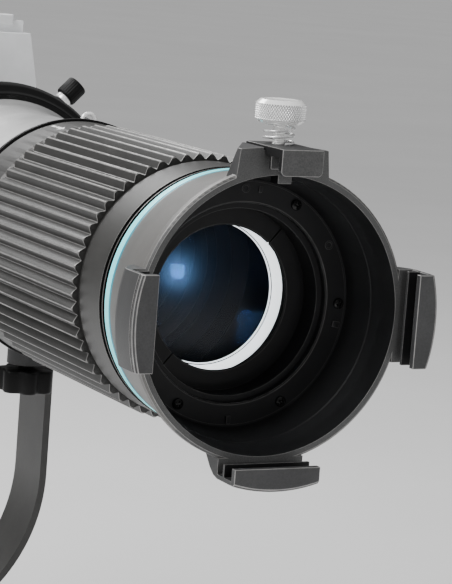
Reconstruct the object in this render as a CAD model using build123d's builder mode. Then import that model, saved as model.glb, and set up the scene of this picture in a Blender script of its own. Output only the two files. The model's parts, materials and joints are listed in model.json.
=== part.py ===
from build123d import *
import os
from math import asin, cos, pi, radians, sin

# Projection lens attachment for a spotlight, millimetres.
# Origin: the optical axis where it meets the front face of the rim.
# The axis runs along +Y from the front to the lamp, +Z is up, +X is the tilt axis.

# ---- driving dimensions ----
RIM_R = 60.0
BORE_R = 56.7
BORE_DEPTH = 8.0
LEDGE_Y = 30.6
LEDGE_R = 41.5
LEDGE_BACK = 34.2
CONE_R = 54.3
SEAT_R = 52.3
RING_FRONT = 35.6
RING_BACK = 41.6
GASKET_BACK = 43.7
BAND_FRONT = 46.2
BAND_BACK = 66.0
BARREL_R = 54.0
TUBE_R = 50.5
TUBE_WALL = 3.0
SLEEVE_FRONT = 66.5
SLEEVE_BACK = 197.5
BARREL_FRONT = 202.5
FLANGE_Y = 285.0
FLANGE_BACK = 297.0
FLANGE_R = 65.4
GATE_R = 61.0
TOWER_Y = 352.0
SHUTTER_Y = 368.0
SHUTTER_R = 76.0
HOUSING_Y = 400.0
HOUSING_R = 82.0
HOUSING_BACK = 470.0
PIVOT_Y = 434.0
GAP = 0.3
RUNNING_FIT = 0.08

# claws and clip
CLAW_ANGLES = (0, 180, 270)
CLAW_HALF = 19.2
CLAW_CHORD = 58.2
CLAW_R = 68.0
SLOT_FLOOR = 63.4
CLAW_SEAM = 0.4
PLATE_FRONT = -15.0
PLATE_BACK = -12.1
FIN_FRONT = -5.9
FIN_BACK = -4.5
CLIP_HALF = 9.2
CLIP_BACK = 16.2
CLIP_FIN_Z = 59.6
CLIP_PLATE_Z = 58.0
CLIP_TOP = 68.4
CLIP_FLOOR = 66.3
CHEEK_INNER_Z = 67.6
CHEEK_OUTER_Z = 66.6
SCREW_Y = 6.5
SCREW_R = 2.45
KNOB_Z = 76.7
KNOB_R = 10.15
KNOB_H = 9.4
KNOB_BEVEL = 1.7

# focus sleeve
RIB_COUNT = 60
RIB_TIP_R = 57.3
RIB_ROOT_R = 54.7

# optics
PIN_COUNT = 3
PIN_R = 3.0
PIN_Y = 135.0
FOCUS_TRAVEL = 12.0

# yoke
LEG_X = 88.0
LEG_T = 4.0
LEG_W = 36.0
BEND_Z = -165.0
YOKE_TOP = 18.0
PIVOT_R = 6.0
PIVOT_START = 72.0
PIVOT_HEAD_R = 11.0
PIVOT_HEAD_H = 5.0
WASHER_R = 13.0
WASHER_T = 1.0
HEAD_START = LEG_X + LEG_T + 1.4
YOKE_BOLT_R = 4.0
CLAMP_UP = 18.0
CLAMP_SCREW_R = 4.0
SOCKET_R = 8.1
SOCKET_HALF = 17.0
SOCKET_BOTTOM = -305.0
SOCKET_DEPTH = 38.0

os.makedirs("parts", exist_ok=True)


def radial_plane(angle, tangent=0.0):
    """Plane holding the optical axis, x along the radius at this angle, y along +Y."""
    a = radians(angle)
    normal = Vector(-sin(a), 0, cos(a))
    return Plane(origin=normal * tangent, x_dir=(cos(a), 0, sin(a)), z_dir=normal)


def outward_plane(angle, radius, y):
    """Plane whose normal points away from the optical axis at this angle."""
    a = radians(angle)
    outward = Vector(cos(a), 0, sin(a))
    return Plane(origin=outward * radius + Vector(0, y, 0), x_dir=(0, 1, 0), z_dir=outward)


def cross_plane(y):
    """Plane across the optical axis at y, x along +X, y along +Z, normal towards the front."""
    return Plane(origin=(0, y, 0), x_dir=(1, 0, 0), z_dir=(0, -1, 0))


def profile(points):
    """Closed sketch of straight runs, used as (radius, y) for a body of revolution."""
    with BuildSketch(Plane.XY) as outline:
        with BuildLine():
            Polyline(*points, close=True)
        make_face()
    return outline.sketch


def tube_points(inner, outer, y0, y1, bevel=0.0):
    """Section of a plain tube with its outer edges bevelled."""
    if bevel == 0:
        return [(inner, y0), (outer, y0), (outer, y1), (inner, y1)]
    return [
        (inner, y0), (outer - bevel, y0), (outer, y0 + bevel),
        (outer, y1 - bevel), (outer - bevel, y1), (inner, y1),
    ]


def tangent_plane(angle, y):
    """Plane across the axis whose x runs outward at this angle; normal towards the front."""
    a = radians(angle)
    return Plane(origin=(0, y, 0), x_dir=(cos(a), 0, sin(a)), z_dir=(0, -1, 0))


def lobe_points(radius, depth, count, steps=8):
    """Wavy outline of a lobed hand knob."""
    total = count * steps
    return [
        (
            (radius - depth * (0.5 - 0.5 * cos(2 * pi * i / steps))) * cos(2 * pi * i / total),
            (radius - depth * (0.5 - 0.5 * cos(2 * pi * i / steps))) * sin(2 * pi * i / total),
        )
        for i in range(total)
    ]


def dome(edge_r, vertex_y, edge_y):
    """Three points of a spherical lens face, from the axis to its edge."""
    sag = edge_y - vertex_y
    ball = (edge_r ** 2 + sag ** 2) / (2 * sag)
    middle = asin(edge_r / ball) / 2
    return (0, vertex_y), (ball * sin(middle), vertex_y + ball * (1 - cos(middle))), (edge_r, edge_y)


def save(builder, name):
    builder.part.label = name
    export_step(builder.part, f"parts/{name}.step")


# ---- front holder: rim, cone, claw walls and clip base ----
with BuildPart() as claws:
    for angle in CLAW_ANGLES:
        with BuildSketch(radial_plane(angle, -CLAW_HALF)):
            with BuildLine():
                Polyline(
                    (57.0, PLATE_BACK), (72.0, PLATE_BACK), (72.0, 14.0), (57.0, 14.0), close=True
                )
            make_face()
        extrude(amount=2 * CLAW_HALF)
    revolve(
        profile([
            (0, PLATE_BACK), (CLAW_R - CLAW_SEAM, PLATE_BACK), (CLAW_R, PLATE_BACK + CLAW_SEAM),
            (CLAW_R, 0), (67.1, 3.5), (64.7, 7.0), (61.0, 10.5), (57.6, 14.0), (0, 14.0),
        ]),
        axis=Axis.Y,
        mode=Mode.INTERSECT,
    )
    for angle in CLAW_ANGLES:
        for front, back, floor in (
            (PLATE_BACK, FIN_FRONT, SLOT_FLOOR), (FIN_BACK, 0, SLOT_FLOOR),
            (FIN_FRONT, FIN_BACK, CLAW_CHORD),
        ):
            with BuildSketch(radial_plane(angle, -CLAW_HALF - 1)):
                with BuildLine():
                    Polyline((50.0, front), (floor, front), (floor, back), (50.0, back), close=True)
                make_face()
            extrude(amount=2 * CLAW_HALF + 2, mode=Mode.SUBTRACT)

with BuildPart() as clip_base:
    with BuildSketch(Plane.XY.offset(54.0)):
        with BuildLine():
            Polyline((-21, 0), (21, 0), (21, 9), (12, 24), (-12, 24), (-21, 9), close=True)
        make_face()
    with BuildSketch(Plane.XY.offset(69.0)):
        with BuildLine():
            Polyline(
                (-19.4, 0), (19.4, 0), (19.4, 2), (10.4, 16.4), (-10.4, 16.4), (-19.4, 2), close=True
            )
        make_face()
    loft()
    with BuildSketch(cross_plane(30.0)):
        with BuildLine():
            Polyline(
                (-22, 50), (22, 50), (22, CHEEK_OUTER_Z), (CLIP_HALF + GAP, CHEEK_INNER_Z),
                (CLIP_HALF + GAP, CLIP_FLOOR), (-CLIP_HALF - GAP, CLIP_FLOOR),
                (-CLIP_HALF - GAP, CHEEK_INNER_Z), (-22, CHEEK_OUTER_Z), close=True,
            )
        make_face()
    extrude(amount=40, mode=Mode.INTERSECT)

with BuildPart() as front_holder:
    revolve(
        profile([
            (BORE_R, 0), (RIM_R - 1, 0), (RIM_R, 1), (RIM_R, 3.6), (RIM_R - 0.8, 4.4),
            (CONE_R, RING_FRONT), (SEAT_R, RING_FRONT), (SEAT_R, RING_BACK), (TUBE_R, RING_BACK),
            (TUBE_R, LEDGE_Y),
            (51.2, LEDGE_Y), (54.3, 16.0), (54.7, 15.6), (BORE_R, BORE_DEPTH),
        ]),
        axis=Axis.Y,
    )
    add(claws.part)
    add(clip_base.part)
    revolve(
        profile([
            (0, -20), (BORE_R, -20), (BORE_R, BORE_DEPTH), (54.7, 15.6), (54.3, 16.0),
            (51.2, LEDGE_Y), (0, LEDGE_Y),
        ]),
        axis=Axis.Y,
        mode=Mode.SUBTRACT,
    )
    with BuildSketch(Plane.XY.offset(53.3)):
        with Locations((0.8, 3.2)):
            Rectangle(6.0, 6.4)
    extrude(amount=3.4)
    with BuildSketch(Plane.XY.offset(59.0)):
        with Locations((0, SCREW_Y)):
            Circle(SCREW_R + RUNNING_FIT)
    extrude(amount=12, mode=Mode.SUBTRACT)
save(front_holder, "front_holder")

# ---- claw front plates ----
with BuildPart() as claw_plates:
    for angle in CLAW_ANGLES:
        with BuildSketch(radial_plane(angle, -CLAW_HALF)):
            with BuildLine():
                Polyline(
                    (CLAW_CHORD, PLATE_FRONT), (72.0, PLATE_FRONT), (72.0, PLATE_BACK),
                    (CLAW_CHORD, PLATE_BACK), close=True,
                )
            make_face()
        extrude(amount=2 * CLAW_HALF)
    revolve(
        profile([
            (0, PLATE_FRONT), (CLAW_R - 1, PLATE_FRONT), (CLAW_R, PLATE_FRONT + 1),
            (CLAW_R, PLATE_BACK - CLAW_SEAM), (CLAW_R - CLAW_SEAM, PLATE_BACK), (0, PLATE_BACK),
        ]),
        axis=Axis.Y,
        mode=Mode.INTERSECT,
    )
save(claw_plates, "claw_plates")

# ---- retaining clip: arm, front plate and fin ----
with BuildPart() as retaining_clip:
    with BuildSketch(Plane.YZ.offset(-CLIP_HALF)):
        with BuildLine():
            Polyline(
                (PLATE_FRONT, CLIP_PLATE_Z), (PLATE_BACK, CLIP_PLATE_Z), (PLATE_BACK, 64.8),
                (FIN_FRONT, 64.8), (FIN_FRONT, CLIP_FIN_Z), (FIN_BACK, CLIP_FIN_Z),
                (FIN_BACK, 64.8), (-GAP, 64.8), (-GAP, CLIP_FLOOR + GAP),
                (CLIP_BACK, CLIP_FLOOR + GAP), (CLIP_BACK, CLIP_TOP), (PLATE_FRONT, CLIP_TOP),
                close=True,
            )
        make_face()
    extrude(amount=2 * CLIP_HALF)
    front_corners = retaining_clip.edges().filter_by(Axis.Y).group_by(Axis.Y)[0]
    fillet(front_corners.sort_by(Axis.Z)[:2], radius=2.0)
    with BuildSketch(Plane.XY.offset(CLIP_FLOOR)):
        with Locations((0, SCREW_Y)):
            Circle(SCREW_R + RUNNING_FIT)
    extrude(amount=6, mode=Mode.SUBTRACT)
save(retaining_clip, "retaining_clip")

# ---- knurled thumb screw ----
with BuildPart() as thumb_screw:
    with BuildSketch(Plane.XY.offset(59.0)):
        with Locations((0, SCREW_Y)):
            Circle(SCREW_R)
    extrude(amount=KNOB_Z - 59.0)
    with BuildSketch(Plane.XY.offset(KNOB_Z)):
        with Locations((0, SCREW_Y)):
            Circle(KNOB_R)
    extrude(amount=KNOB_H)
    rims = thumb_screw.edges().filter_by(GeomType.CIRCLE).sort_by(SortBy.RADIUS)[-2:]
    chamfer(rims, length=KNOB_BEVEL)
save(thumb_screw, "thumb_screw")

# ---- clip spring: open coil between the clip and the knob ----
SPRING_R = 6.0
SPRING_WIRE = 0.45
SPRING_TURNS = 2.5
with BuildPart() as clip_spring:
    spring_foot = CLIP_TOP + SPRING_WIRE + 0.05
    spring_rise = KNOB_Z - CLIP_TOP - 2 * SPRING_WIRE - 0.35
    with BuildLine() as coil:
        Helix(
            pitch=spring_rise / SPRING_TURNS, height=spring_rise, radius=SPRING_R,
            center=(0, SCREW_Y, spring_foot),
        )
    with BuildSketch(Plane(origin=coil.line @ 0, z_dir=coil.line % 0)):
        Circle(SPRING_WIRE)
    sweep(path=coil.line, is_frenet=True)
save(clip_spring, "clip_spring")

# ---- screw flange and its six pan-head screws ----
SCREW_PITCH_R = 47.4
HEAD_R = 2.3
with BuildPart() as screw_flange:
    revolve(
        profile([
            (LEDGE_R, LEDGE_Y + 0.6), (LEDGE_R + 0.6, LEDGE_Y), (TUBE_R, LEDGE_Y),
            (TUBE_R, LEDGE_BACK), (LEDGE_R, LEDGE_BACK),
        ]),
        axis=Axis.Y,
    )
    with BuildSketch(cross_plane(35.0)):
        with PolarLocations(SCREW_PITCH_R, 6):
            Circle(1.25)
    extrude(amount=6, mode=Mode.SUBTRACT)
save(screw_flange, "screw_flange")

with BuildPart() as flange_screws:
    with BuildSketch(cross_plane(LEDGE_Y)):
        with PolarLocations(SCREW_PITCH_R, 6):
            Circle(HEAD_R)
    extrude(amount=1.7)
    with BuildSketch(cross_plane(40.0)):
        with PolarLocations(SCREW_PITCH_R, 6):
            Circle(1.25)
    extrude(amount=40.0 - LEDGE_Y)
    with BuildSketch(cross_plane(LEDGE_Y - 1.7)):
        with PolarLocations(SCREW_PITCH_R, 6):
            Rectangle(2.6, 0.5)
            Rectangle(0.5, 2.6)
    extrude(amount=-1.0, mode=Mode.SUBTRACT)
save(flange_screws, "flange_screws")

# ---- front lens group ----
CELL_R = 43.3
CELL_BORE = 38.9
LENS_R = 36.0
SPANNER_W = 0.8
with BuildPart() as lens_cell:
    revolve(
        profile([
            (CELL_BORE, LEDGE_BACK), (CELL_R, LEDGE_BACK), (CELL_R, 64.0), (31.0, 64.0), (31.0, 61.0),
            (LENS_R, 61.0), (LENS_R, 48.0), (CELL_BORE, 48.0),
        ]),
        axis=Axis.Y,
    )
save(lens_cell, "lens_cell")

with BuildPart() as lens_retaining_ring:
    revolve(
        profile([
            (30.3, 45.6), (30.9, 45.0), (CELL_BORE, 45.0), (CELL_BORE, 48.0), (32.6, 48.0),
        ]),
        axis=Axis.Y,
    )
    for angle in (48.5, 228.5):
        with BuildSketch(radial_plane(angle, -SPANNER_W / 2)):
            with BuildLine():
                Polyline((29.5, 44.0), (40.0, 44.0), (40.0, 46.4), (29.5, 46.4), close=True)
            make_face()
        extrude(amount=SPANNER_W, mode=Mode.SUBTRACT)
save(lens_retaining_ring, "lens_retaining_ring")

with BuildPart() as front_lens:
    with BuildSketch(Plane.XY):
        with BuildLine():
            front_face = ThreePointArc(*dome(32.4, 43.4, 48.0))
            Polyline(front_face @ 1, (LENS_R, 48.0), (LENS_R, 53.0), (30.6, 53.0))
            ThreePointArc(*dome(30.6, 57.4, 53.0))
            Line((0, 57.4), (0, 43.4))
        make_face()
    revolve(axis=Axis.Y)
save(front_lens, "front_lens")

with BuildPart() as seat_ring:
    revolve(profile(tube_points(30.7, LENS_R, 53.0, 61.0)), axis=Axis.Y)
save(seat_ring, "seat_ring")

# ---- rings behind the cone ----
with BuildPart() as accent_ring:
    revolve(
        profile(tube_points(SEAT_R, CONE_R + 0.1, RING_FRONT, RING_BACK, bevel=0.4)), axis=Axis.Y
    )
save(accent_ring, "accent_ring")

with BuildPart() as gasket:
    revolve(profile(tube_points(TUBE_R, 53.0, RING_BACK, GASKET_BACK)), axis=Axis.Y)
save(gasket, "gasket")

with BuildPart() as collar_band:
    revolve(
        profile([
            (TUBE_R, GASKET_BACK), (CONE_R - 0.1, GASKET_BACK), (CONE_R - 0.1, GASKET_BACK + 0.8),
            (53.0, GASKET_BACK + 0.8), (53.0, BAND_FRONT), (CONE_R - 0.3, BAND_FRONT),
            (CONE_R + 0.1, BAND_FRONT + 0.4), (CONE_R + 0.1, BAND_BACK - 0.4),
            (CONE_R - 0.3, BAND_BACK), (TUBE_R, BAND_BACK),
        ]),
        axis=Axis.Y,
    )
save(collar_band, "collar_band")

# ---- ribbed focus sleeve ----
RIB_PITCH = 2 * pi / RIB_COUNT
RIB_FRONT = 68.5
RIB_BACK = 175.5
SLEEVE_BAND_R = 56.3


def rib_outline():
    """Outline of the ribs: V-shaped grooves between narrow flat crests."""
    points = []
    for i in range(RIB_COUNT):
        for radius, share in (
            (RIB_ROOT_R, 0.0), (RIB_TIP_R, 0.43), (RIB_TIP_R, 0.53), (RIB_ROOT_R, 0.94),
        ):
            turn = (i + share) * RIB_PITCH
            points.append((radius * cos(turn), radius * sin(turn)))
    return points


with BuildPart() as focus_sleeve:
    with BuildSketch(cross_plane(RIB_BACK)):
        with BuildLine():
            Polyline(*rib_outline(), close=True)
        make_face()
    extrude(amount=RIB_BACK - RIB_FRONT)
    revolve(
        profile([
            (50.0, SLEEVE_FRONT), (53.4, SLEEVE_FRONT), (53.8, RIB_FRONT), (50.0, RIB_FRONT),
        ]),
        axis=Axis.Y,
    )
    revolve(
        profile(tube_points(50.0, SLEEVE_BAND_R, RIB_BACK, SLEEVE_BACK, bevel=0.6)), axis=Axis.Y
    )
    revolve(
        profile([
            (0, 60.0), (TUBE_R + RUNNING_FIT, 60.0), (TUBE_R + RUNNING_FIT, 80.0), (52.0, 81.5),
            (52.0, 184.0), (TUBE_R + RUNNING_FIT, 185.5), (TUBE_R + RUNNING_FIT, 200.0), (0, 200.0),
        ]),
        axis=Axis.Y,
        mode=Mode.SUBTRACT,
    )
save(focus_sleeve, "focus_sleeve")

# ---- inner barrel with straight guide slots ----
BARREL_BORE = TUBE_R - TUBE_WALL
SLOT_HALF_LENGTH = FOCUS_TRAVEL + 0.5
with BuildPart() as inner_barrel:
    revolve(
        profile([
            (CELL_R, LEDGE_BACK), (TUBE_R, LEDGE_BACK), (TUBE_R, FLANGE_BACK), (BARREL_BORE, FLANGE_BACK),
            (BARREL_BORE, 62.0), (44.6, 60.0), (CELL_R, 60.0),
        ]),
        axis=Axis.Y,
    )
    for i in range(PIN_COUNT):
        with BuildSketch(outward_plane(90 + i * 360 / PIN_COUNT, 40.0, PIN_Y)):
            SlotCenterToCenter(2 * SLOT_HALF_LENGTH, 2 * (PIN_R + RUNNING_FIT))
        extrude(amount=20, mode=Mode.SUBTRACT)
    with BuildSketch(cross_plane(40.5)):
        with PolarLocations(SCREW_PITCH_R, 6):
            Circle(1.25)
    extrude(amount=10, mode=Mode.SUBTRACT)
save(inner_barrel, "inner_barrel")

# ---- lens carriage, its pins and the rear lens ----
CARRIAGE_R = BARREL_BORE - RUNNING_FIT
REAR_LENS_R = 41.0
with BuildPart() as lens_carriage:
    revolve(
        profile([
            (REAR_LENS_R, 120.0), (CARRIAGE_R, 120.0), (CARRIAGE_R, 128.0), (46.4, 128.8),
            (46.4, 141.2), (CARRIAGE_R, 142.0), (CARRIAGE_R, 150.0), (37.0, 150.0),
            (37.0, 147.0), (REAR_LENS_R, 147.0),
        ]),
        axis=Axis.Y,
    )
    for i in range(PIN_COUNT):
        with BuildSketch(outward_plane(90 + i * 360 / PIN_COUNT, 42.5, PIN_Y)):
            Circle(1.5)
        extrude(amount=10, mode=Mode.SUBTRACT)
save(lens_carriage, "lens_carriage")

with BuildPart() as cam_pins:
    for i in range(PIN_COUNT):
        with BuildSketch(outward_plane(90 + i * 360 / PIN_COUNT, 46.5, PIN_Y)):
            Circle(PIN_R)
        extrude(amount=5.0)
        with BuildSketch(outward_plane(90 + i * 360 / PIN_COUNT, 42.5, PIN_Y)):
            Circle(1.5)
        extrude(amount=4.0)
save(cam_pins, "cam_pins")

with BuildPart() as rear_lens:
    with BuildSketch(Plane.XY):
        with BuildLine():
            Polyline((0, 147.6), (0, 134.0), (REAR_LENS_R, 134.0), (REAR_LENS_R, 138.0), (37.0, 138.0))
            ThreePointArc(*dome(37.0, 147.6, 138.0))
        make_face()
    revolve(axis=Axis.Y)
save(rear_lens, "rear_lens")

with BuildPart() as rear_lens_ring:
    revolve(profile(tube_points(37.5, REAR_LENS_R, 130.5, 134.0)), axis=Axis.Y)
save(rear_lens_ring, "rear_lens_ring")

# ---- rear barrel and its flange ----
with BuildPart() as rear_barrel:
    revolve(
        profile([
            (TUBE_R, BARREL_FRONT), (BARREL_R - 0.8, BARREL_FRONT), (BARREL_R, BARREL_FRONT + 0.8),
            (BARREL_R, 275.0),
            (BARREL_R + 1.4, 281.0), (BARREL_R + 3.6, FLANGE_Y), (TUBE_R, FLANGE_Y),
        ]),
        axis=Axis.Y,
    )
save(rear_barrel, "rear_barrel")

# ---- glossy stop ring that stands proud behind the focus sleeve ----
STOP_RING_R = 57.4
STOP_RING_FRONT = 198.0
STOP_RING_BACK = 200.2
STOP_RING_BEVEL = 0.3
with BuildPart() as stop_ring:
    revolve(
        profile([
            (TUBE_R, STOP_RING_FRONT), (STOP_RING_R - STOP_RING_BEVEL, STOP_RING_FRONT),
            (STOP_RING_R, STOP_RING_FRONT + STOP_RING_BEVEL), (STOP_RING_R, STOP_RING_BACK - STOP_RING_BEVEL),
            (STOP_RING_R - STOP_RING_BEVEL, STOP_RING_BACK), (TUBE_R, STOP_RING_BACK),
        ]),
        axis=Axis.Y,
    )
save(stop_ring, "stop_ring")

with BuildPart() as barrel_flange:
    revolve(
        profile([
            (TUBE_R, FLANGE_Y), (60.3, FLANGE_Y), (61.2, FLANGE_Y + 2.2), (64.0, FLANGE_Y + 4.0),
            (FLANGE_R, 292.0), (FLANGE_R, 296.2), (FLANGE_R - 0.8, FLANGE_BACK),
            (TUBE_R, FLANGE_BACK),
        ]),
        axis=Axis.Y,
    )
save(barrel_flange, "barrel_flange")

# ---- lobed lock knob under the barrel ----
LOBED_Y = 243.0
LOBED_TOP = -68.5
LOBED_H = 11.0
LOBED_R = 14.0
LOBED_STUD_R = 4.0
LOBES = 7
LOBE_DEPTH = 2.4
BOSS_BOTTOM = -66.0
with BuildPart() as lock_boss:
    with BuildSketch(Plane.XY.offset(BOSS_BOTTOM)):
        with Locations((0, LOBED_Y)):
            Circle(9.0)
            Circle(LOBED_STUD_R + RUNNING_FIT, mode=Mode.SUBTRACT)
    extrude(amount=16.0)
    revolve(profile([(0, 200), (BARREL_R, 200), (BARREL_R, 275), (0, 275)]), axis=Axis.Y,
            mode=Mode.SUBTRACT)
save(lock_boss, "lock_boss")

with BuildPart() as lobed_knob:
    with BuildSketch(Plane(origin=(0, LOBED_Y, LOBED_TOP - LOBED_H))):
        with BuildLine():
            Polyline(*lobe_points(LOBED_R, LOBE_DEPTH, LOBES), close=True)
        make_face()
    extrude(amount=LOBED_H)
    with BuildSketch(Plane.XY.offset(LOBED_TOP)):
        with Locations((0, LOBED_Y)):
            Circle(LOBED_STUD_R)
    extrude(amount=14.0)
save(lobed_knob, "lobed_knob")

# ---- wire bail on the barrel ----
BAIL_ANGLE = 66.0
BAIL_Y = 240.0
BAIL_AXIS_R = 56.6
BAIL_WIRE = 1.0
BAIL_HALF = 3.6
BAIL_SHOULDER = 1.2
BAIL_TOP = 4.2
with BuildPart() as bail_bracket:
    with BuildSketch(outward_plane(BAIL_ANGLE, 53.0, BAIL_Y)):
        Rectangle(9.0, 4.4)
    extrude(amount=1.9)
    with BuildSketch(radial_plane(BAIL_ANGLE, -2.2)):
        with Locations((BAIL_AXIS_R, BAIL_Y)):
            Circle(1.8)
        with Locations((BAIL_AXIS_R - 1.0, BAIL_Y)):
            Rectangle(2.0, 3.6)
    extrude(amount=4.4)
    with BuildSketch(radial_plane(BAIL_ANGLE, -3.0)):
        with Locations((BAIL_AXIS_R, BAIL_Y)):
            Circle(BAIL_WIRE + RUNNING_FIT)
    extrude(amount=6.0, mode=Mode.SUBTRACT)
    revolve(profile([(0, 200), (BARREL_R, 200), (BARREL_R, 275), (0, 275)]), axis=Axis.Y,
            mode=Mode.SUBTRACT)
save(bail_bracket, "bail_bracket")

with BuildPart() as wire_bail:
    bail_across = Plane(
        origin=outward_plane(BAIL_ANGLE, BAIL_AXIS_R, BAIL_Y).origin,
        x_dir=radial_plane(BAIL_ANGLE).z_dir, z_dir=(0, 1, 0),
    )
    with BuildLine(bail_across) as bail_path:
        Polyline((BAIL_HALF, 0), (-BAIL_HALF, 0))
    with BuildSketch(Plane(origin=bail_path.line @ 0, z_dir=bail_path.line % 0)):
        Circle(BAIL_WIRE)
    sweep(path=bail_path.line)
    with BuildLine(bail_across) as bail_bow:
        Line((-BAIL_HALF, 0), (-BAIL_HALF, BAIL_SHOULDER))
        ThreePointArc((-BAIL_HALF, BAIL_SHOULDER), (0, BAIL_TOP), (BAIL_HALF, BAIL_SHOULDER))
        Line((BAIL_HALF, BAIL_SHOULDER), (BAIL_HALF, 0))
    with BuildSketch(Plane(origin=bail_bow.wires()[0] @ 0, z_dir=bail_bow.wires()[0] % 0)):
        Circle(BAIL_WIRE)
    sweep(path=bail_bow.wires()[0])
save(wire_bail, "wire_bail")

# ---- gate shell and its radial lock knob ----
GATE_KNOB_ANGLE = 45.0
GATE_KNOB_Y = 340.5
GATE_BORE = 55.0
GATE_FRONT = 301.0
GATE_BOSS_R = 6.5
GATE_STUD_R = 2.0
GATE_GRIP_START = 77.0
GATE_GRIP_R = 5.7
GATE_GRIP_H = 10.0
GATE_COLLAR_R = 4.2
GATE_COLLAR_H = 2.8
with BuildPart() as gate_front_plate:
    revolve(
        profile([
            (TUBE_R, FLANGE_BACK), (GATE_R - 1, FLANGE_BACK), (GATE_R, FLANGE_BACK + 1),
            (GATE_R, GATE_FRONT), (TUBE_R, GATE_FRONT),
        ]),
        axis=Axis.Y,
    )
save(gate_front_plate, "gate_front_plate")

with BuildPart() as gate_shell:
    revolve(profile(tube_points(GATE_BORE, GATE_R, GATE_FRONT, TOWER_Y)), axis=Axis.Y)
    with BuildSketch(outward_plane(GATE_KNOB_ANGLE, GATE_BORE - 5, GATE_KNOB_Y)):
        Circle(GATE_STUD_R + RUNNING_FIT)
    extrude(amount=20.0, mode=Mode.SUBTRACT)
save(gate_shell, "gate_shell")

with BuildPart() as gate_boss:
    with BuildSketch(outward_plane(GATE_KNOB_ANGLE, GATE_R - 3, GATE_KNOB_Y)):
        Circle(GATE_BOSS_R)
        Circle(GATE_STUD_R + RUNNING_FIT, mode=Mode.SUBTRACT)
    extrude(amount=9.0)
    revolve(
        profile([(0, GATE_FRONT), (GATE_R, GATE_FRONT), (GATE_R, TOWER_Y), (0, TOWER_Y)]),
        axis=Axis.Y,
        mode=Mode.SUBTRACT,
    )
save(gate_boss, "gate_boss")

with BuildPart() as gate_knob:
    with BuildSketch(outward_plane(GATE_KNOB_ANGLE, GATE_BORE + 1, GATE_KNOB_Y)):
        Circle(GATE_STUD_R)
    extrude(amount=GATE_GRIP_START - GATE_BORE - 1)
    with BuildSketch(outward_plane(GATE_KNOB_ANGLE, GATE_GRIP_START, GATE_KNOB_Y)):
        Circle(GATE_GRIP_R)
    extrude(amount=GATE_GRIP_H)
save(gate_knob, "gate_knob")

with BuildPart() as gate_knob_collar:
    with BuildSketch(outward_plane(GATE_KNOB_ANGLE, GATE_GRIP_START - GATE_COLLAR_H, GATE_KNOB_Y)):
        Circle(GATE_COLLAR_R)
        Circle(GATE_STUD_R, mode=Mode.SUBTRACT)
    extrude(amount=GATE_COLLAR_H)
save(gate_knob_collar, "gate_knob_collar")

# ---- slot tower with the drop-in gobo holder ----
TOWER_HALF = 43.0
TOWER_TOP = 86.0
SLOT_FRONT = TOWER_Y + 5.0
SLOT_BACK = SHUTTER_Y - 5.0
SLOT_HALF = 38.0
GOBO_BORE = 37.5
with BuildPart() as slot_tower:
    with BuildSketch(cross_plane(SHUTTER_Y)):
        Circle(64.0)
        with BuildLine():
            Polyline(
                (-TOWER_HALF, 40), (TOWER_HALF, 40), (TOWER_HALF, 60),
                (TOWER_HALF - 5, TOWER_TOP), (5 - TOWER_HALF, TOWER_TOP), (-TOWER_HALF, 60),
                close=True,
            )
        make_face()
        Circle(GOBO_BORE, mode=Mode.SUBTRACT)
    extrude(amount=SHUTTER_Y - TOWER_Y)
    with BuildSketch(cross_plane(SLOT_BACK)):
        with Locations((0, 25)):
            Rectangle(2 * SLOT_HALF - 3, 140)
        with Locations((0, -45)):
            Rectangle(200, 10, mode=Mode.SUBTRACT)
    extrude(amount=SLOT_BACK - SLOT_FRONT, mode=Mode.SUBTRACT)
save(slot_tower, "slot_tower")

HOLDER_HALF = SLOT_HALF - 1.5 - GAP
with BuildPart() as gobo_holder:
    with BuildSketch(cross_plane(SLOT_BACK - 1.2)):
        with BuildLine():
            Polyline(
                (-HOLDER_HALF, -39), (HOLDER_HALF, -39), (HOLDER_HALF, 92), (-HOLDER_HALF, 92),
                close=True,
            )
        make_face()
        Circle(28.0, mode=Mode.SUBTRACT)
    extrude(amount=SLOT_BACK - SLOT_FRONT - 2.4)
    with BuildSketch(Plane.XY.offset(90.0)):
        with Locations((0, (SLOT_FRONT + SLOT_BACK) / 2)):
            RectangleRounded(60.0, 10.0, 2.0)
    extrude(amount=5.0)
save(gobo_holder, "gobo_holder")

# ---- framing shutters in their housing ----
BLADE_T = 1.6
BLADE_PITCH = 4.0
BLADE_HALF = 30.0
BLADE_INNER = 34.0
BLADE_OUTER = 70.0
NECK_HALF = 9.0
GRIP_START = 116.0
GRIP_END = 130.0
BLADE_ORDER = (("top", 90), ("right", 0), ("bottom", 270), ("left", 180))
FIRST_BLADE_Y = SHUTTER_Y + 6.0
SHUTTER_WALL = 4.0
SHUTTER_BACK = HOUSING_Y - 8.0




with BuildPart() as shutter_front_plate:
    revolve(
        profile([
            (GOBO_BORE, SHUTTER_Y), (SHUTTER_R - 1, SHUTTER_Y), (SHUTTER_R, SHUTTER_Y + 1),
            (SHUTTER_R, SHUTTER_Y + SHUTTER_WALL), (GOBO_BORE, SHUTTER_Y + SHUTTER_WALL),
        ]),
        axis=Axis.Y,
    )
save(shutter_front_plate, "shutter_front_plate")

with BuildPart() as shutter_housing:
    revolve(
        profile(tube_points(
            SHUTTER_R - SHUTTER_WALL, SHUTTER_R, SHUTTER_Y + SHUTTER_WALL, SHUTTER_BACK
        )),
        axis=Axis.Y,
    )
    for i, (side, angle) in enumerate(BLADE_ORDER):
        with BuildSketch(tangent_plane(angle, FIRST_BLADE_Y + i * BLADE_PITCH + BLADE_T + 0.6)):
            with Locations((SHUTTER_R, 0)):
                Rectangle(20, 2 * (NECK_HALF + 0.6))
        extrude(amount=BLADE_T + 1.2, mode=Mode.SUBTRACT)
save(shutter_housing, "shutter_housing")

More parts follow.
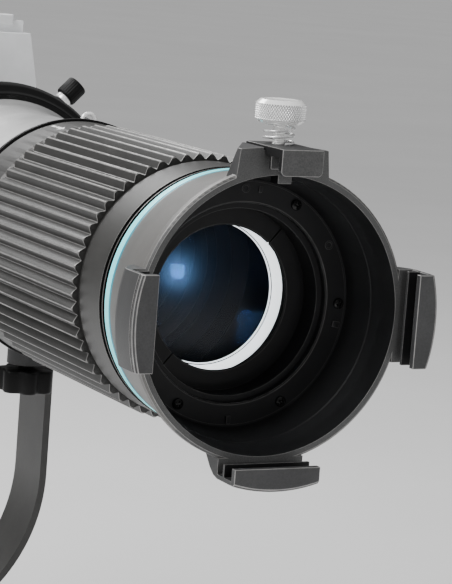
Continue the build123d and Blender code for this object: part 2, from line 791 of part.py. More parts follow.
for i, (side, angle) in enumerate(BLADE_ORDER):
    blade_back = FIRST_BLADE_Y + i * BLADE_PITCH + BLADE_T
    with BuildPart() as shutter:
        with BuildSketch(tangent_plane(angle, blade_back)):
            with BuildLine():
                Polyline(
                    (BLADE_INNER, -BLADE_HALF), (BLADE_OUTER - 10, -BLADE_HALF),
                    (BLADE_OUTER, -NECK_HALF), (GRIP_START, -NECK_HALF), (GRIP_START, NECK_HALF),
                    (BLADE_OUTER, NECK_HALF), (BLADE_OUTER - 10, BLADE_HALF),
                    (BLADE_INNER, BLADE_HALF), close=True,
                )
            make_face()
        extrude(amount=BLADE_T)
    save(shutter, f"shutter_{side}")
    with BuildPart() as grip:
        with BuildSketch(tangent_plane(angle, blade_back + 1.2)):
            with Locations(((GRIP_START + GRIP_END) / 2, 0)):
                RectangleRounded(GRIP_END - GRIP_START, 2 * NECK_HALF + 2, 2.0)
        extrude(amount=BLADE_T + 2.4)
    save(grip, f"shutter_grip_{side}")

with BuildPart() as shutter_separators:
    for i in range(len(BLADE_ORDER) - 1):
        gap_back = FIRST_BLADE_Y + (i + 1) * BLADE_PITCH - 0.8
        with BuildSketch(cross_plane(gap_back)):
            Circle(SHUTTER_R - SHUTTER_WALL)
            Circle(GOBO_BORE, mode=Mode.SUBTRACT)
        extrude(amount=0.8)
save(shutter_separators, "shutter_separators")

# ---- rear housing, condenser and lamp mount ----
BOSS_R = 15.0
HOUSING_WALL = 6.0
HOUSING_BORE = HOUSING_R - HOUSING_WALL
WEB_Y = 440.0
WEB_T = 4.0
CONDENSER_R = 48.0
CONDENSER_BACK = 436.0
with BuildPart() as rear_housing:
    revolve(
        profile([
            (GOBO_BORE, SHUTTER_BACK), (SHUTTER_R, SHUTTER_BACK), (SHUTTER_R, HOUSING_Y - 4),
            (HOUSING_R - 1, HOUSING_Y), (HOUSING_R, HOUSING_Y + 1), (HOUSING_R, HOUSING_BACK),
            (HOUSING_BORE, HOUSING_BACK), (HOUSING_BORE, WEB_Y + WEB_T), (52.0, WEB_Y + WEB_T),
            (52.0, WEB_Y), (HOUSING_BORE, WEB_Y), (HOUSING_BORE, HOUSING_Y),
            (GOBO_BORE, HOUSING_Y - 4),
        ]),
        axis=Axis.Y,
    )
    for angle in (0, 180):
        with BuildSketch(outward_plane(angle, 70.0, PIVOT_Y)):
            Circle(BOSS_R)
        extrude(amount=LEG_X - GAP - 70.0)
        with BuildSketch(outward_plane(angle, 66.0, PIVOT_Y)):
            Circle(PIVOT_R)
        extrude(amount=30.0, mode=Mode.SUBTRACT)
save(rear_housing, "rear_housing")

with BuildPart() as condenser_cell:
    revolve(
        profile([
            (CONDENSER_R, 418.0), (54.0, 418.0), (54.0, WEB_Y), (45.0, WEB_Y),
            (45.0, CONDENSER_BACK), (CONDENSER_R, CONDENSER_BACK),
        ]),
        axis=Axis.Y,
    )
save(condenser_cell, "condenser_cell")

with BuildPart() as condenser_lens:
    with BuildSketch(Plane.XY):
        with BuildLine():
            Polyline(
                (0, 412.0), (0, CONDENSER_BACK), (CONDENSER_R, CONDENSER_BACK),
                (CONDENSER_R, 430.0), (46.0, 430.0)
            )
            ThreePointArc(*dome(46.0, 412.0, 430.0))
        make_face()
    revolve(axis=Axis.Y)
save(condenser_lens, "condenser_lens")

PLATE_Y = HOUSING_BACK
PLATE_T = 5.0
PLATE_SCREWS = PolarLocations(HOUSING_R - 3, 6)
PLATE_SCREW_R = 1.6
PLATE_HEAD_R = 2.8
PLATE_HEAD_H = 2.0
SINK_R = 3.1
SINK_DEPTH = 2.4
SPIGOT_R = 49.0
LUG_R = 56.0
with BuildPart() as lamp_plate:
    revolve(
        profile(tube_points(SPIGOT_R, HOUSING_R + 2, PLATE_Y, PLATE_Y + PLATE_T, bevel=0.8)),
        axis=Axis.Y,
    )
    with BuildSketch(cross_plane(PLATE_Y + PLATE_T)):
        with PLATE_SCREWS:
            Circle(PLATE_SCREW_R)
    extrude(amount=PLATE_T, mode=Mode.SUBTRACT)
    with BuildSketch(cross_plane(PLATE_Y + PLATE_T)):
        with PLATE_SCREWS:
            Circle(SINK_R)
    extrude(amount=SINK_DEPTH, mode=Mode.SUBTRACT)
save(lamp_plate, "lamp_plate")

with BuildPart() as plate_screws:
    head_back = PLATE_Y + PLATE_T - SINK_DEPTH + PLATE_HEAD_H
    with BuildSketch(cross_plane(head_back)):
        with PLATE_SCREWS:
            Circle(PLATE_HEAD_R)
    extrude(amount=PLATE_HEAD_H)
    with BuildSketch(cross_plane(head_back)):
        with PLATE_SCREWS:
            Circle(PLATE_SCREW_R)
    extrude(amount=head_back - PLATE_Y)
    with BuildSketch(cross_plane(head_back)):
        with PLATE_SCREWS:
            RegularPolygon(1.4, 6)
    extrude(amount=1.2, mode=Mode.SUBTRACT)
save(plate_screws, "plate_screws")

with BuildPart() as lamp_bayonet:
    revolve(profile(tube_points(SPIGOT_R - 4, SPIGOT_R, PLATE_Y - 4, PLATE_Y + 22)), axis=Axis.Y)
    revolve(profile(tube_points(SPIGOT_R - 4, 53.0, PLATE_Y - 4, PLATE_Y)), axis=Axis.Y)
    for turn in range(3):
        with BuildSketch(tangent_plane(90 + turn * 120, PLATE_Y + 22)):
            with BuildLine():
                CenterArc((0, 0), LUG_R, -20, 40)
                CenterArc((0, 0), SPIGOT_R - 1, -20, 40)
                for edge in (-20, 20):
                    Line(
                        ((SPIGOT_R - 1) * cos(radians(edge)), (SPIGOT_R - 1) * sin(radians(edge))),
                        (LUG_R * cos(radians(edge)), LUG_R * sin(radians(edge))),
                    )
            make_face()
        extrude(amount=5.0)
save(lamp_bayonet, "lamp_bayonet")

# ---- yoke, pivots and stand socket ----
with BuildPart() as yoke_frame:
    with BuildSketch(cross_plane(PIVOT_Y + LEG_W / 2)):
        with BuildLine():
            outer = LEG_X + LEG_T
            Line((outer, YOKE_TOP), (outer, BEND_Z))
            ThreePointArc((outer, BEND_Z), (0, BEND_Z - outer), (-outer, BEND_Z))
            Polyline(
                (-outer, BEND_Z), (-outer, YOKE_TOP), (-LEG_X, YOKE_TOP), (-LEG_X, BEND_Z)
            )
            ThreePointArc((-LEG_X, BEND_Z), (0, BEND_Z - LEG_X), (LEG_X, BEND_Z))
            Polyline((LEG_X, BEND_Z), (LEG_X, YOKE_TOP), (outer, YOKE_TOP))
        make_face()
    extrude(amount=LEG_W)
    fillet(yoke_frame.edges().filter_by(Axis.X).group_by(Axis.Z)[-1], radius=LEG_W / 2 - 0.5)
    for angle in (0, 180):
        with BuildSketch(outward_plane(angle, 80.0, PIVOT_Y)):
            Circle(PIVOT_R + RUNNING_FIT)
        extrude(amount=20.0, mode=Mode.SUBTRACT)
    with BuildSketch(Plane.XY.offset(BEND_Z - LEG_X - 10)):
        with Locations((0, PIVOT_Y)):
            Circle(YOKE_BOLT_R)
    extrude(amount=20.0, mode=Mode.SUBTRACT)
save(yoke_frame, "yoke_frame")

with BuildPart() as pivot_bolt:
    with BuildSketch(outward_plane(180, PIVOT_START, PIVOT_Y)):
        Circle(PIVOT_R)
    extrude(amount=HEAD_START - PIVOT_START)
    with BuildSketch(outward_plane(180, HEAD_START, PIVOT_Y)):
        Circle(PIVOT_HEAD_R)
    extrude(amount=PIVOT_HEAD_H)
    with BuildSketch(outward_plane(180, HEAD_START + 2.0, PIVOT_Y)):
        RegularPolygon(4.0, 6)
    extrude(amount=PIVOT_HEAD_H, mode=Mode.SUBTRACT)
save(pivot_bolt, "pivot_bolt")

with BuildPart() as pivot_washers:
    for angle in (0, 180):
        with BuildSketch(outward_plane(angle, LEG_X + LEG_T, PIVOT_Y)):
            Circle(WASHER_R)
            Circle(PIVOT_R + RUNNING_FIT, mode=Mode.SUBTRACT)
        extrude(amount=WASHER_T)
save(pivot_washers, "pivot_washers")

TILT_KNOB_R = 20.0
TILT_KNOB_H = 15.0
TILT_LOBES = 6
TILT_LOBE_DEPTH = 4.0
with BuildPart() as tilt_knob:
    with BuildSketch(outward_plane(0, PIVOT_START, PIVOT_Y)):
        Circle(PIVOT_R - RUNNING_FIT)
    extrude(amount=HEAD_START - PIVOT_START)
    with BuildSketch(outward_plane(0, HEAD_START, PIVOT_Y)):
        Circle(PIVOT_HEAD_R)
    extrude(amount=PIVOT_HEAD_H)
    with BuildSketch(outward_plane(0, HEAD_START + PIVOT_HEAD_H, PIVOT_Y)):
        with BuildLine():
            Polyline(*lobe_points(TILT_KNOB_R, TILT_LOBE_DEPTH, TILT_LOBES), close=True)
        make_face()
    extrude(amount=TILT_KNOB_H)
save(tilt_knob, "tilt_knob")

SOCKET_TOP = BEND_Z - LEG_X - LEG_T
with BuildPart() as stand_socket:
    with BuildSketch(Plane.XY.offset(SOCKET_BOTTOM)):
        with Locations((0, PIVOT_Y)):
            RectangleRounded(2 * SOCKET_HALF, 2 * SOCKET_HALF, 5.0)
    extrude(amount=SOCKET_TOP - SOCKET_BOTTOM + 4)
    with BuildSketch(cross_plane(PIVOT_Y + 30)):
        with Locations((0, BEND_Z)):
            Circle(LEG_X + LEG_T)
    extrude(amount=60, mode=Mode.SUBTRACT)
    with BuildSketch(Plane.XY.offset(SOCKET_BOTTOM)):
        with Locations((0, PIVOT_Y)):
            Circle(SOCKET_R)
    extrude(amount=SOCKET_DEPTH, mode=Mode.SUBTRACT)
    with BuildSketch(cross_plane(PIVOT_Y - SOCKET_R + 1)):
        with Locations((0, SOCKET_BOTTOM + CLAMP_UP)):
            Circle(CLAMP_SCREW_R + RUNNING_FIT)
    extrude(amount=20, mode=Mode.SUBTRACT)
    with BuildSketch(Plane.XY.offset(SOCKET_TOP - 6)):
        with Locations((0, PIVOT_Y)):
            Circle(YOKE_BOLT_R)
    extrude(amount=12, mode=Mode.SUBTRACT)
save(stand_socket, "stand_socket")

with BuildPart() as yoke_bolt:
    with BuildSketch(Plane.XY.offset(SOCKET_TOP - 6)):
        with Locations((0, PIVOT_Y)):
            Circle(YOKE_BOLT_R)
    extrude(amount=LEG_T + 6.5)
    with BuildSketch(Plane.XY.offset(SOCKET_TOP + LEG_T + 0.5)):
        with Locations((0, PIVOT_Y)):
            RegularPolygon(7.0, 6)
    extrude(amount=5.0)
save(yoke_bolt, "yoke_bolt")

CLAMP_STUD_L = 14.0
CLAMP_KNOB_R = 13.0
CLAMP_KNOB_H = 12.0
CLAMP_LOBES = 6
CLAMP_LOBE_DEPTH = 2.6
with BuildPart() as socket_screw:
    with BuildSketch(cross_plane(PIVOT_Y - SOCKET_R - 0.5)):
        with Locations((0, SOCKET_BOTTOM + CLAMP_UP)):
            Circle(CLAMP_SCREW_R)
    extrude(amount=CLAMP_STUD_L)
    with BuildSketch(
        Plane(
            origin=(0, PIVOT_Y - SOCKET_R - CLAMP_STUD_L - 0.5, SOCKET_BOTTOM + CLAMP_UP),
            z_dir=(0, -1, 0),
        )
    ):
        with BuildLine():
            Polyline(*lobe_points(CLAMP_KNOB_R, CLAMP_LOBE_DEPTH, CLAMP_LOBES), close=True)
        make_face()
    extrude(amount=CLAMP_KNOB_H)
save(socket_screw, "socket_screw")
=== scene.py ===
import json
from math import cos, hypot, pi, radians, sin, sqrt

import bmesh
import bpy
from mathutils import Matrix, Vector


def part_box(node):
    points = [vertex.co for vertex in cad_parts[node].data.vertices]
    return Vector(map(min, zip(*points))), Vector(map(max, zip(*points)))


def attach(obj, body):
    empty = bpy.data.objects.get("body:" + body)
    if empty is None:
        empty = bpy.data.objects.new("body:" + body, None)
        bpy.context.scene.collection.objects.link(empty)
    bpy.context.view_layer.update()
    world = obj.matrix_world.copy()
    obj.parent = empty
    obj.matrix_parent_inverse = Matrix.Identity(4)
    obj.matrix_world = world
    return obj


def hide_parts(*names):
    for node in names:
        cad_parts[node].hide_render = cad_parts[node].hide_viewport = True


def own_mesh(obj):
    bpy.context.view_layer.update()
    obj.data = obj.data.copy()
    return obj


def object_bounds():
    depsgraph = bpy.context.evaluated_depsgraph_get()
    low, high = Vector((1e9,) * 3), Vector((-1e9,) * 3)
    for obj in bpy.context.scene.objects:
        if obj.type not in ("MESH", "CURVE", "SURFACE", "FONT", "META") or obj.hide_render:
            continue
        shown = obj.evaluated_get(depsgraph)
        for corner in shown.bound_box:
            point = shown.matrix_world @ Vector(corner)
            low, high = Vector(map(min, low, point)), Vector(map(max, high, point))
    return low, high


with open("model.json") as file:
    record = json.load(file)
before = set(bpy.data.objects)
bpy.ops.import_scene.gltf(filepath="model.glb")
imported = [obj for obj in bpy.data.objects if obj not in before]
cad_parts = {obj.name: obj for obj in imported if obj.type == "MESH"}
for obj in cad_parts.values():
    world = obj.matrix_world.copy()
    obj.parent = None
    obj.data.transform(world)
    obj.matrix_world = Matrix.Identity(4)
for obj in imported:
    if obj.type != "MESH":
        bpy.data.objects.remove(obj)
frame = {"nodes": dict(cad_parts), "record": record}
cad_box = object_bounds()
NODES = frame["nodes"]
RECORD = frame["record"]
BODY_OF = {node: body for body, members in RECORD["behaviour"]["bodies"].items() for node in members}
SLOT_OF = {entry["node"]: entry["material_slot"] for entry in RECORD["subparts"]}
MM = 0.001
Y_AXIS = (0, 1, 0)
Z_AXIS = (0, 0, 1)


# ---------------------------------------------------------------- materials
def shader(name):
    """A new material, its node tree and its Principled shader."""
    material = bpy.data.materials.new(name)
    material.use_nodes = True
    tree = material.node_tree
    return material, tree, tree.nodes["Principled BSDF"]


def link(tree, source, target):
    tree.links.new(source, target)


def place(tree, stretch=(1, 1, 1)):
    """Object coordinates, stretched so that a pattern can run along one axis."""
    coords = tree.nodes.new("ShaderNodeTexCoord")
    mapping = tree.nodes.new("ShaderNodeMapping")
    mapping.inputs["Scale"].default_value = stretch
    link(tree, coords.outputs["Object"], mapping.inputs["Vector"])
    return mapping.outputs["Vector"]


def noise(tree, vector, scale, detail=4.0, rough=0.6):
    node = tree.nodes.new("ShaderNodeTexNoise")
    node.inputs["Scale"].default_value = scale
    node.inputs["Detail"].default_value = detail
    node.inputs["Roughness"].default_value = rough
    link(tree, vector, node.inputs["Vector"])
    return node.outputs["Fac"]


def ramp(tree, fac, stops):
    """Colour ramp; each stop is (position, grey or colour)."""
    node = tree.nodes.new("ShaderNodeValToRGB")
    elements = node.color_ramp.elements
    while len(elements) < len(stops):
        elements.new(0.5)
    for element, (position, value) in zip(elements, stops):
        element.position = position
        rgb = (value, value, value) if isinstance(value, (int, float)) else value
        element.color = (*rgb, 1.0)
    link(tree, fac, node.inputs["Fac"])
    return node.outputs["Color"]


def blend_colour(tree, fac, a, b, mode="MIX"):
    node = tree.nodes.new("ShaderNodeMix")
    node.data_type = "RGBA"
    node.blend_type = mode
    for socket, value in ((node.inputs["Factor"], fac), (node.inputs[6], a), (node.inputs[7], b)):
        if isinstance(value, bpy.types.NodeSocket):
            link(tree, value, socket)
        else:
            socket.default_value = value
    return node.outputs[2]


def edge_wear_and_highlight(tree, vector, amount):
    """How strongly each rounded edge is lightened, partly wear and partly a painted highlight: the edge
    mark on the mesh, broken up by noise.
    """
    mark = tree.nodes.new("ShaderNodeAttribute")
    mark.attribute_name = "edge"
    patchy = ramp(tree, noise(tree, vector, 160.0, 3.0), [(0.3, amount * 0.45), (0.65, amount)])
    return blend_colour(tree, 1.0, mark.outputs["Color"], patchy, "MULTIPLY")


def bump(tree, principled, height, strength, distance):
    node = tree.nodes.new("ShaderNodeBump")
    node.inputs["Strength"].default_value = strength
    node.inputs["Distance"].default_value = distance
    link(tree, height, node.inputs["Height"])
    link(tree, node.outputs["Normal"], principled.inputs["Normal"])


def coated(name, dark, light, roughness, grain=900.0, depth=0.04, metallic=0.0, edge=0.0, gloss=0.5,
           speckle=0.3, bare_and_highlight=(0.5, 0.49, 0.48, 1.0)):
    """Painted or anodised metal, or moulded plastic: mottled colour, fine grain, and marked edges lighter
    and metallic, partly wear and partly a painted highlight.
    """
    material, tree, principled = shader(name)
    vector = place(tree)
    mottle = noise(tree, vector, 46.0, 6.0, 0.7)
    colour = ramp(tree, mottle, [(0.3, dark), (0.7, light)])
    fine = noise(tree, vector, grain, 3.0, 0.75)
    speck = ramp(tree, fine, [(0.36, 1.0 - speckle), (0.64, 1.0)])
    colour = blend_colour(tree, 1.0, colour, speck, "MULTIPLY")
    principled.inputs["Metallic"].default_value = metallic
    # Marked edges turn lighter and metallic: partly edge wear, partly a painted highlight on every rounded
    # edge.
    if edge:
        wear_and_highlight = edge_wear_and_highlight(tree, vector, edge)
        colour = blend_colour(tree, wear_and_highlight, colour, bare_and_highlight)
        link(tree, blend_colour(tree, wear_and_highlight, (metallic, metallic, metallic, 1.0), (1, 1, 1, 1)),
             principled.inputs["Metallic"])
    link(tree, colour, principled.inputs["Base Color"])
    rough = ramp(tree, fine, [(0.25, roughness - 0.06), (0.75, roughness + 0.1)])
    link(tree, rough, principled.inputs["Roughness"])
    principled.inputs["Specular IOR Level"].default_value = gloss
    bump(tree, principled, fine, 0.6, depth * MM)
    return material


def turned(name, dark, light, roughness, axis=1, metallic=1.0, lines=2600.0, depth=0.006):
    """Lathe-turned metal: fine rings across the chosen axis."""
    material, tree, principled = shader(name)
    stretch = [6.0, 6.0, 6.0]
    stretch[axis] = lines
    rings = noise(tree, place(tree, stretch), 1.0, 4.0, 0.65)
    smudge = noise(tree, place(tree), 55.0, 5.0, 0.7)
    colour = ramp(tree, smudge, [(0.3, dark), (0.7, light)])
    colour = blend_colour(tree, 1.0, colour, ramp(tree, rings, [(0.3, 0.9), (0.7, 1.08)]), "MULTIPLY")
    link(tree, colour, principled.inputs["Base Color"])
    rough = ramp(tree, rings, [(0.3, roughness - 0.05), (0.7, roughness + 0.09)])
    link(tree, rough, principled.inputs["Roughness"])
    principled.inputs["Metallic"].default_value = metallic
    principled.inputs["Anisotropic"].default_value = 0.3
    bump(tree, principled, rings, 0.6, depth * MM)
    return material


def lens_glass(name, coat):
    """Clear glass with a soft anti-reflection coat of the given weight; the front lens's front face gets
    the coated copy.
    """
    material, tree, principled = shader(name)
    tint = ramp(tree, noise(tree, place(tree), 24.0), [(0.3, (0.9, 0.95, 0.97)), (0.7, (0.93, 0.97, 1.0))])
    link(tree, tint, principled.inputs["Base Color"])
    principled.inputs["Roughness"].default_value = 0.0
    principled.inputs["Transmission Weight"].default_value = 1.0
    principled.inputs["IOR"].default_value = 1.14
    principled.inputs["Specular Tint"].default_value = (0.2, 0.45, 1.0, 1.0)
    principled.inputs["Coat Weight"].default_value = coat
    principled.inputs["Coat Roughness"].default_value = 0.24
    principled.inputs["Coat IOR"].default_value = 1.45
    return material


MATERIALS = {
    "cast_black": coated(
        "cast_black", (0.034, 0.034, 0.035), (0.052, 0.052, 0.053), 0.46, 1300.0, 0.05, edge=0.75
    ),
    "sleeve_black": coated(
        "sleeve_black", (0.028, 0.0275, 0.0265), (0.046, 0.045, 0.043), 0.4, 1500.0, 0.05,
        edge=0.6, speckle=0.5,
    ),
    # The ring's teal, made pale cyan as if lit bright: partly a painted highlight; the lip's darker teal is
    # its painted shade.
    "teal_accent": coated(
        "teal_accent", (0.17, 0.84, 0.92), (0.27, 0.93, 0.98), 0.3, 2200.0, 0.01, speckle=0.08
    ),
    "gasket_rubber": coated(
        "gasket_rubber", (0.002, 0.002, 0.002), (0.004, 0.004, 0.004), 0.8, 1200.0, 0.03, gloss=0.12
    ),
    "inner_black": coated(
        "inner_black", (0.004, 0.004, 0.0045), (0.008, 0.008, 0.0085), 0.46, 1600.0, 0.02,
        edge=0.1, gloss=0.3,
    ),
    "screw_black": coated(
        "screw_black", (0.008, 0.008, 0.008), (0.016, 0.016, 0.016), 0.16, 2000.0, 0.004, 0.6
    ),
    "lens_glass": lens_glass("lens_glass", 0.0),
    "bright_alloy": turned("bright_alloy", (0.82, 0.83, 0.84), (0.92, 0.93, 0.94), 0.36, metallic=0.2),
    "barrel_grey": turned("barrel_grey", (0.33, 0.33, 0.33), (0.43, 0.43, 0.43), 0.36, metallic=0.3),
    "flange_gloss": turned(
        "flange_gloss", (0.003, 0.003, 0.003), (0.006, 0.006, 0.006), 0.12, metallic=0.0
    ),
    "chrome_trim": turned(
        "chrome_trim", (0.93, 0.93, 0.92), (0.99, 0.99, 0.98), 0.16, axis=2, metallic=0.3,
        lines=9000.0, depth=0.001,
    ),
    "spring_steel": turned(
        "spring_steel", (0.88, 0.88, 0.88), (0.96, 0.96, 0.96), 0.16, axis=2, metallic=0.7,
        lines=900.0, depth=0.002,
    ),
    "steel_hardware": turned("steel_hardware", (0.32, 0.32, 0.33), (0.42, 0.42, 0.43), 0.32, axis=0),
    "pin_brass": turned("pin_brass", (0.62, 0.45, 0.18), (0.75, 0.56, 0.26), 0.28, axis=2),
    "blade_steel": coated(
        "blade_steel", (0.20, 0.20, 0.205), (0.28, 0.28, 0.285), 0.34, 900.0, 0.01, 0.9, edge=0.3
    ),
    "knob_plastic": coated(
        "knob_plastic", (0.004, 0.004, 0.004), (0.008, 0.008, 0.008), 0.34, 1400.0, 0.03,
        edge=0.06, gloss=0.14,
    ),
    "housing_black": coated(
        "housing_black", (0.022, 0.022, 0.023), (0.036, 0.036, 0.037), 0.48, 1100.0, 0.06, edge=0.4
    ),
    "yoke_black": coated(
        "yoke_black", (0.034, 0.033, 0.032), (0.052, 0.051, 0.049), 0.44, 1000.0, 0.06, edge=0.45
    ),
}


def set_socket(material, name, value):
    """A value that is the same all over, set on the shader's own socket."""
    material.node_tree.nodes["Principled BSDF"].inputs[name].default_value = value


# Painted glow: the teal ring emits a little light though it is no lamp.
set_socket(MATERIALS["teal_accent"], "Emission Color", (0.2, 0.9, 1, 1))
set_socket(MATERIALS["teal_accent"], "Emission Strength", 0.25)
set_socket(MATERIALS["flange_gloss"], "Specular IOR Level", 0.22)
COATED_GLASS = lens_glass("coated_glass", 0.55)
PRINT_WHITE = coated("print_white", (0.84, 0.84, 0.82), (0.92, 0.92, 0.90), 0.5, 1500.0, 0.01, speckle=0.05)
# Darker teal for the ring's front lip: painted shade on its front edge, beside the pale cyan band.
TEAL_PAINTED_SHADE = coated("teal_painted_shade", (0.010, 0.20, 0.30), (0.02, 0.30, 0.40), 0.34, 2200.0, 0.01, speckle=0.1)
# Near black for the bore's inside, and painted shade for the slot walls, the pocket under the clip and the
# clip's sides.
BORE_BLACK_AND_PAINTED_SHADE = coated(
    "bore_black_and_painted_shade", (0.004, 0.004, 0.0045), (0.009, 0.009, 0.0095), 0.5, 1500.0, 0.03, gloss=0.3
)
CONE_GREY = coated(
    "cone_grey", (0.105, 0.102, 0.098), (0.135, 0.131, 0.126), 0.42, 1500.0, 0.04, edge=0.5, speckle=0.25
)
RIM_GREY = coated(
    "rim_grey", (0.062, 0.062, 0.062), (0.09, 0.09, 0.09), 0.44, 1700.0, 0.06, edge=0.7, speckle=0.5
)


def knurled_chrome():
    """Bright knurl with painted shade in its grooves, which are marked low on the mesh."""
    material, tree, principled = shader("knurled_chrome")
    mark = tree.nodes.new("ShaderNodeAttribute")
    mark.attribute_name = "edge"
    # Painted shade: the colour darkens where the mark is low, deep in the knurl.
    groove = ramp(tree, mark.outputs["Fac"], [(0.08, 0.3), (0.4, 0.99)])
    oil = ramp(tree, noise(tree, place(tree), 300.0), [(0.3, 0.85), (0.7, 1.0)])
    link(tree, blend_colour(tree, 1.0, groove, oil, "MULTIPLY"), principled.inputs["Base Color"])
    principled.inputs["Metallic"].default_value = 0.3
    principled.inputs["Roughness"].default_value = 0.24
    return material


KNURLED_CHROME = knurled_chrome()


def seat_painted_glow():
    """Polished seat with a painted glow: its emission stands in for the light it catches behind the lens
    edge.
    """
    material = turned("seat_painted_glow", (0.86, 0.86, 0.86), (0.93, 0.93, 0.93), 0.3, metallic=0.0)
    set_socket(material, "Emission Color", (1, 1, 1, 1))
    set_socket(material, "Emission Strength", 1.7)
    return material


SEAT_PAINTED_GLOW = seat_painted_glow()


# ---------------------------------------------------------------- mesh helpers
def shade(mesh, angle=32.0):
    mesh.polygons.foreach_set("use_smooth", [True] * len(mesh.polygons))
    mesh.set_sharp_from_angle(angle=radians(angle))


def add_piece(name, mesh, body, slot, replaced=(), material=None):
    """Links a finished mesh, gives it its slot's material and makes it ride its body."""
    piece = bpy.data.objects.new(name, mesh)
    bpy.context.scene.collection.objects.link(piece)
    mesh.materials.clear()
    mesh.materials.append(material or MATERIALS[slot])
    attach(piece, body)
    if replaced:
        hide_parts(*replaced)
    return piece


def skin(node, mesh, name=None):
    """A piece that stands for one CAD node, on its body and in its slot."""
    return add_piece(name or node + "_skin", mesh, BODY_OF[node], SLOT_OF[node], [node])


def second_material(piece, material, chosen):
    """Gives another material to the faces that pass a test of (mean radius, middle, normal)."""
    mesh = piece.data
    mesh.materials.append(material)
    for face in mesh.polygons:
        corners = [mesh.vertices[i].co / MM for i in face.vertices]
        reach = sum(hypot(c.x, c.z) for c in corners) / len(corners)
        middle = sum(corners, Vector()) / len(corners)
        if chosen(reach, middle, face.normal):
            face.material_index = len(mesh.materials) - 1


def rounded_copy(node, width, segments=2, angle=28.0):
    """The CAD node's own shape with its sharp edges rounded and marked as edges."""
    work = bmesh.new()
    work.from_mesh(NODES[node].data)
    bmesh.ops.remove_doubles(work, verts=work.verts, dist=2e-6)
    bmesh.ops.dissolve_limit(work, angle_limit=radians(0.6), verts=work.verts, edges=work.edges)
    bmesh.ops.recalc_face_normals(work, faces=work.faces)
    sharp = [e for e in work.edges if len(e.link_faces) == 2 and e.calc_face_angle(0) > radians(angle)]
    # The bevel faces get the edge mark, which the finishes paint lighter: partly wear, partly a painted
    # highlight.
    mark = work.faces.layers.float.new("edge")
    made = bmesh.ops.bevel(
        work, geom=sharp, offset=width * MM, offset_type="OFFSET", segments=segments, profile=0.5,
        affect="EDGES", clamp_overlap=True,
    )
    for face in made["faces"]:
        face[mark] = 1.0
    mesh = bpy.data.meshes.new(node + "_rounded")
    work.to_mesh(mesh)
    work.free()
    shade(mesh)
    return mesh


def eased(points, radius, closed=True, steps=3):
    """An outline with its corners rounded, and which of its runs are rounded edges."""
    result, marks = [], []
    count = len(points)
    for i, point in enumerate(points):
        here = Vector(point)
        if not closed and i in (0, count - 1):
            result.append(tuple(here))
            marks.append(0.0)
            continue
        before = Vector(points[i - 1]) - here
        after = Vector(points[(i + 1) % count]) - here
        reach = min(radius, before.length * 0.45, after.length * 0.45)
        start = here + before.normalized() * reach
        end = here + after.normalized() * reach
        for k in range(steps + 1):
            t = k / steps
            spot = start * (1 - t) ** 2 + here * 2 * t * (1 - t) + end * t * t
            result.append(tuple(spot))
            marks.append(1.0 if k < steps else 0.0)
    return result, marks


def spun(rings, origin=(0, 0, 0), axis=Y_AXIS, steps=128, closed=False, marks=None, angle=32.0):
    """Rings of (radius, height) in mm about an axis; a radius may be a function of the turn."""
    along = Vector(axis).normalized()
    side = Vector((1, 0, 0)) if abs(along.x) < 0.6 else Vector((0, 1, 0))
    side = (side - along * side.dot(along)).normalized()
    other = side.cross(along)
    work = bmesh.new()
    mark = work.faces.layers.float.new("edge")
    loops = []
    for radius, height in rings:
        middle = Vector(origin) + along * height
        if not callable(radius) and radius < 1e-6:
            loops.append([work.verts.new(middle * MM)] * steps)
            continue
        loop = []
        for i in range(steps):
            turn = 2 * pi * i / steps
            reach = radius(turn) if callable(radius) else radius
            loop.append(work.verts.new((middle + (side * cos(turn) + other * sin(turn)) * reach) * MM))
        loops.append(loop)
    runs = len(rings) if closed else len(rings) - 1
    for k in range(runs):
        low, high = loops[k], loops[(k + 1) % len(rings)]
        for i in range(steps):
            j = (i + 1) % steps
            corners = []
            for vert in (low[i], low[j], high[j], high[i]):
                if vert not in corners:
                    corners.append(vert)
            if len(corners) > 2:
                face = work.faces.new(corners)
                value = marks[k] if marks else 0.0
                face[mark] = value((i + 0.5) * 2 * pi / steps) if callable(value) else value
    bmesh.ops.recalc_face_normals(work, faces=work.faces)
    mesh = bpy.data.meshes.new("spun")
    work.to_mesh(mesh)
    work.free()
    shade(mesh, angle)
    return mesh


def turned_ring(points, ease=0.25, steps=160):
    """A solid of revolution about the optical axis with eased corners."""
    outline, marks = eased(points, ease)
    return spun(outline, steps=steps, closed=True, marks=marks)


def joined(meshes):
    """Several meshes as one."""
    work = bmesh.new()
    for mesh in meshes:
        work.from_mesh(mesh)
        bpy.data.meshes.remove(mesh)
    result = bpy.data.meshes.new("joined")
    work.to_mesh(result)
    work.free()
    shade(result)
    return result


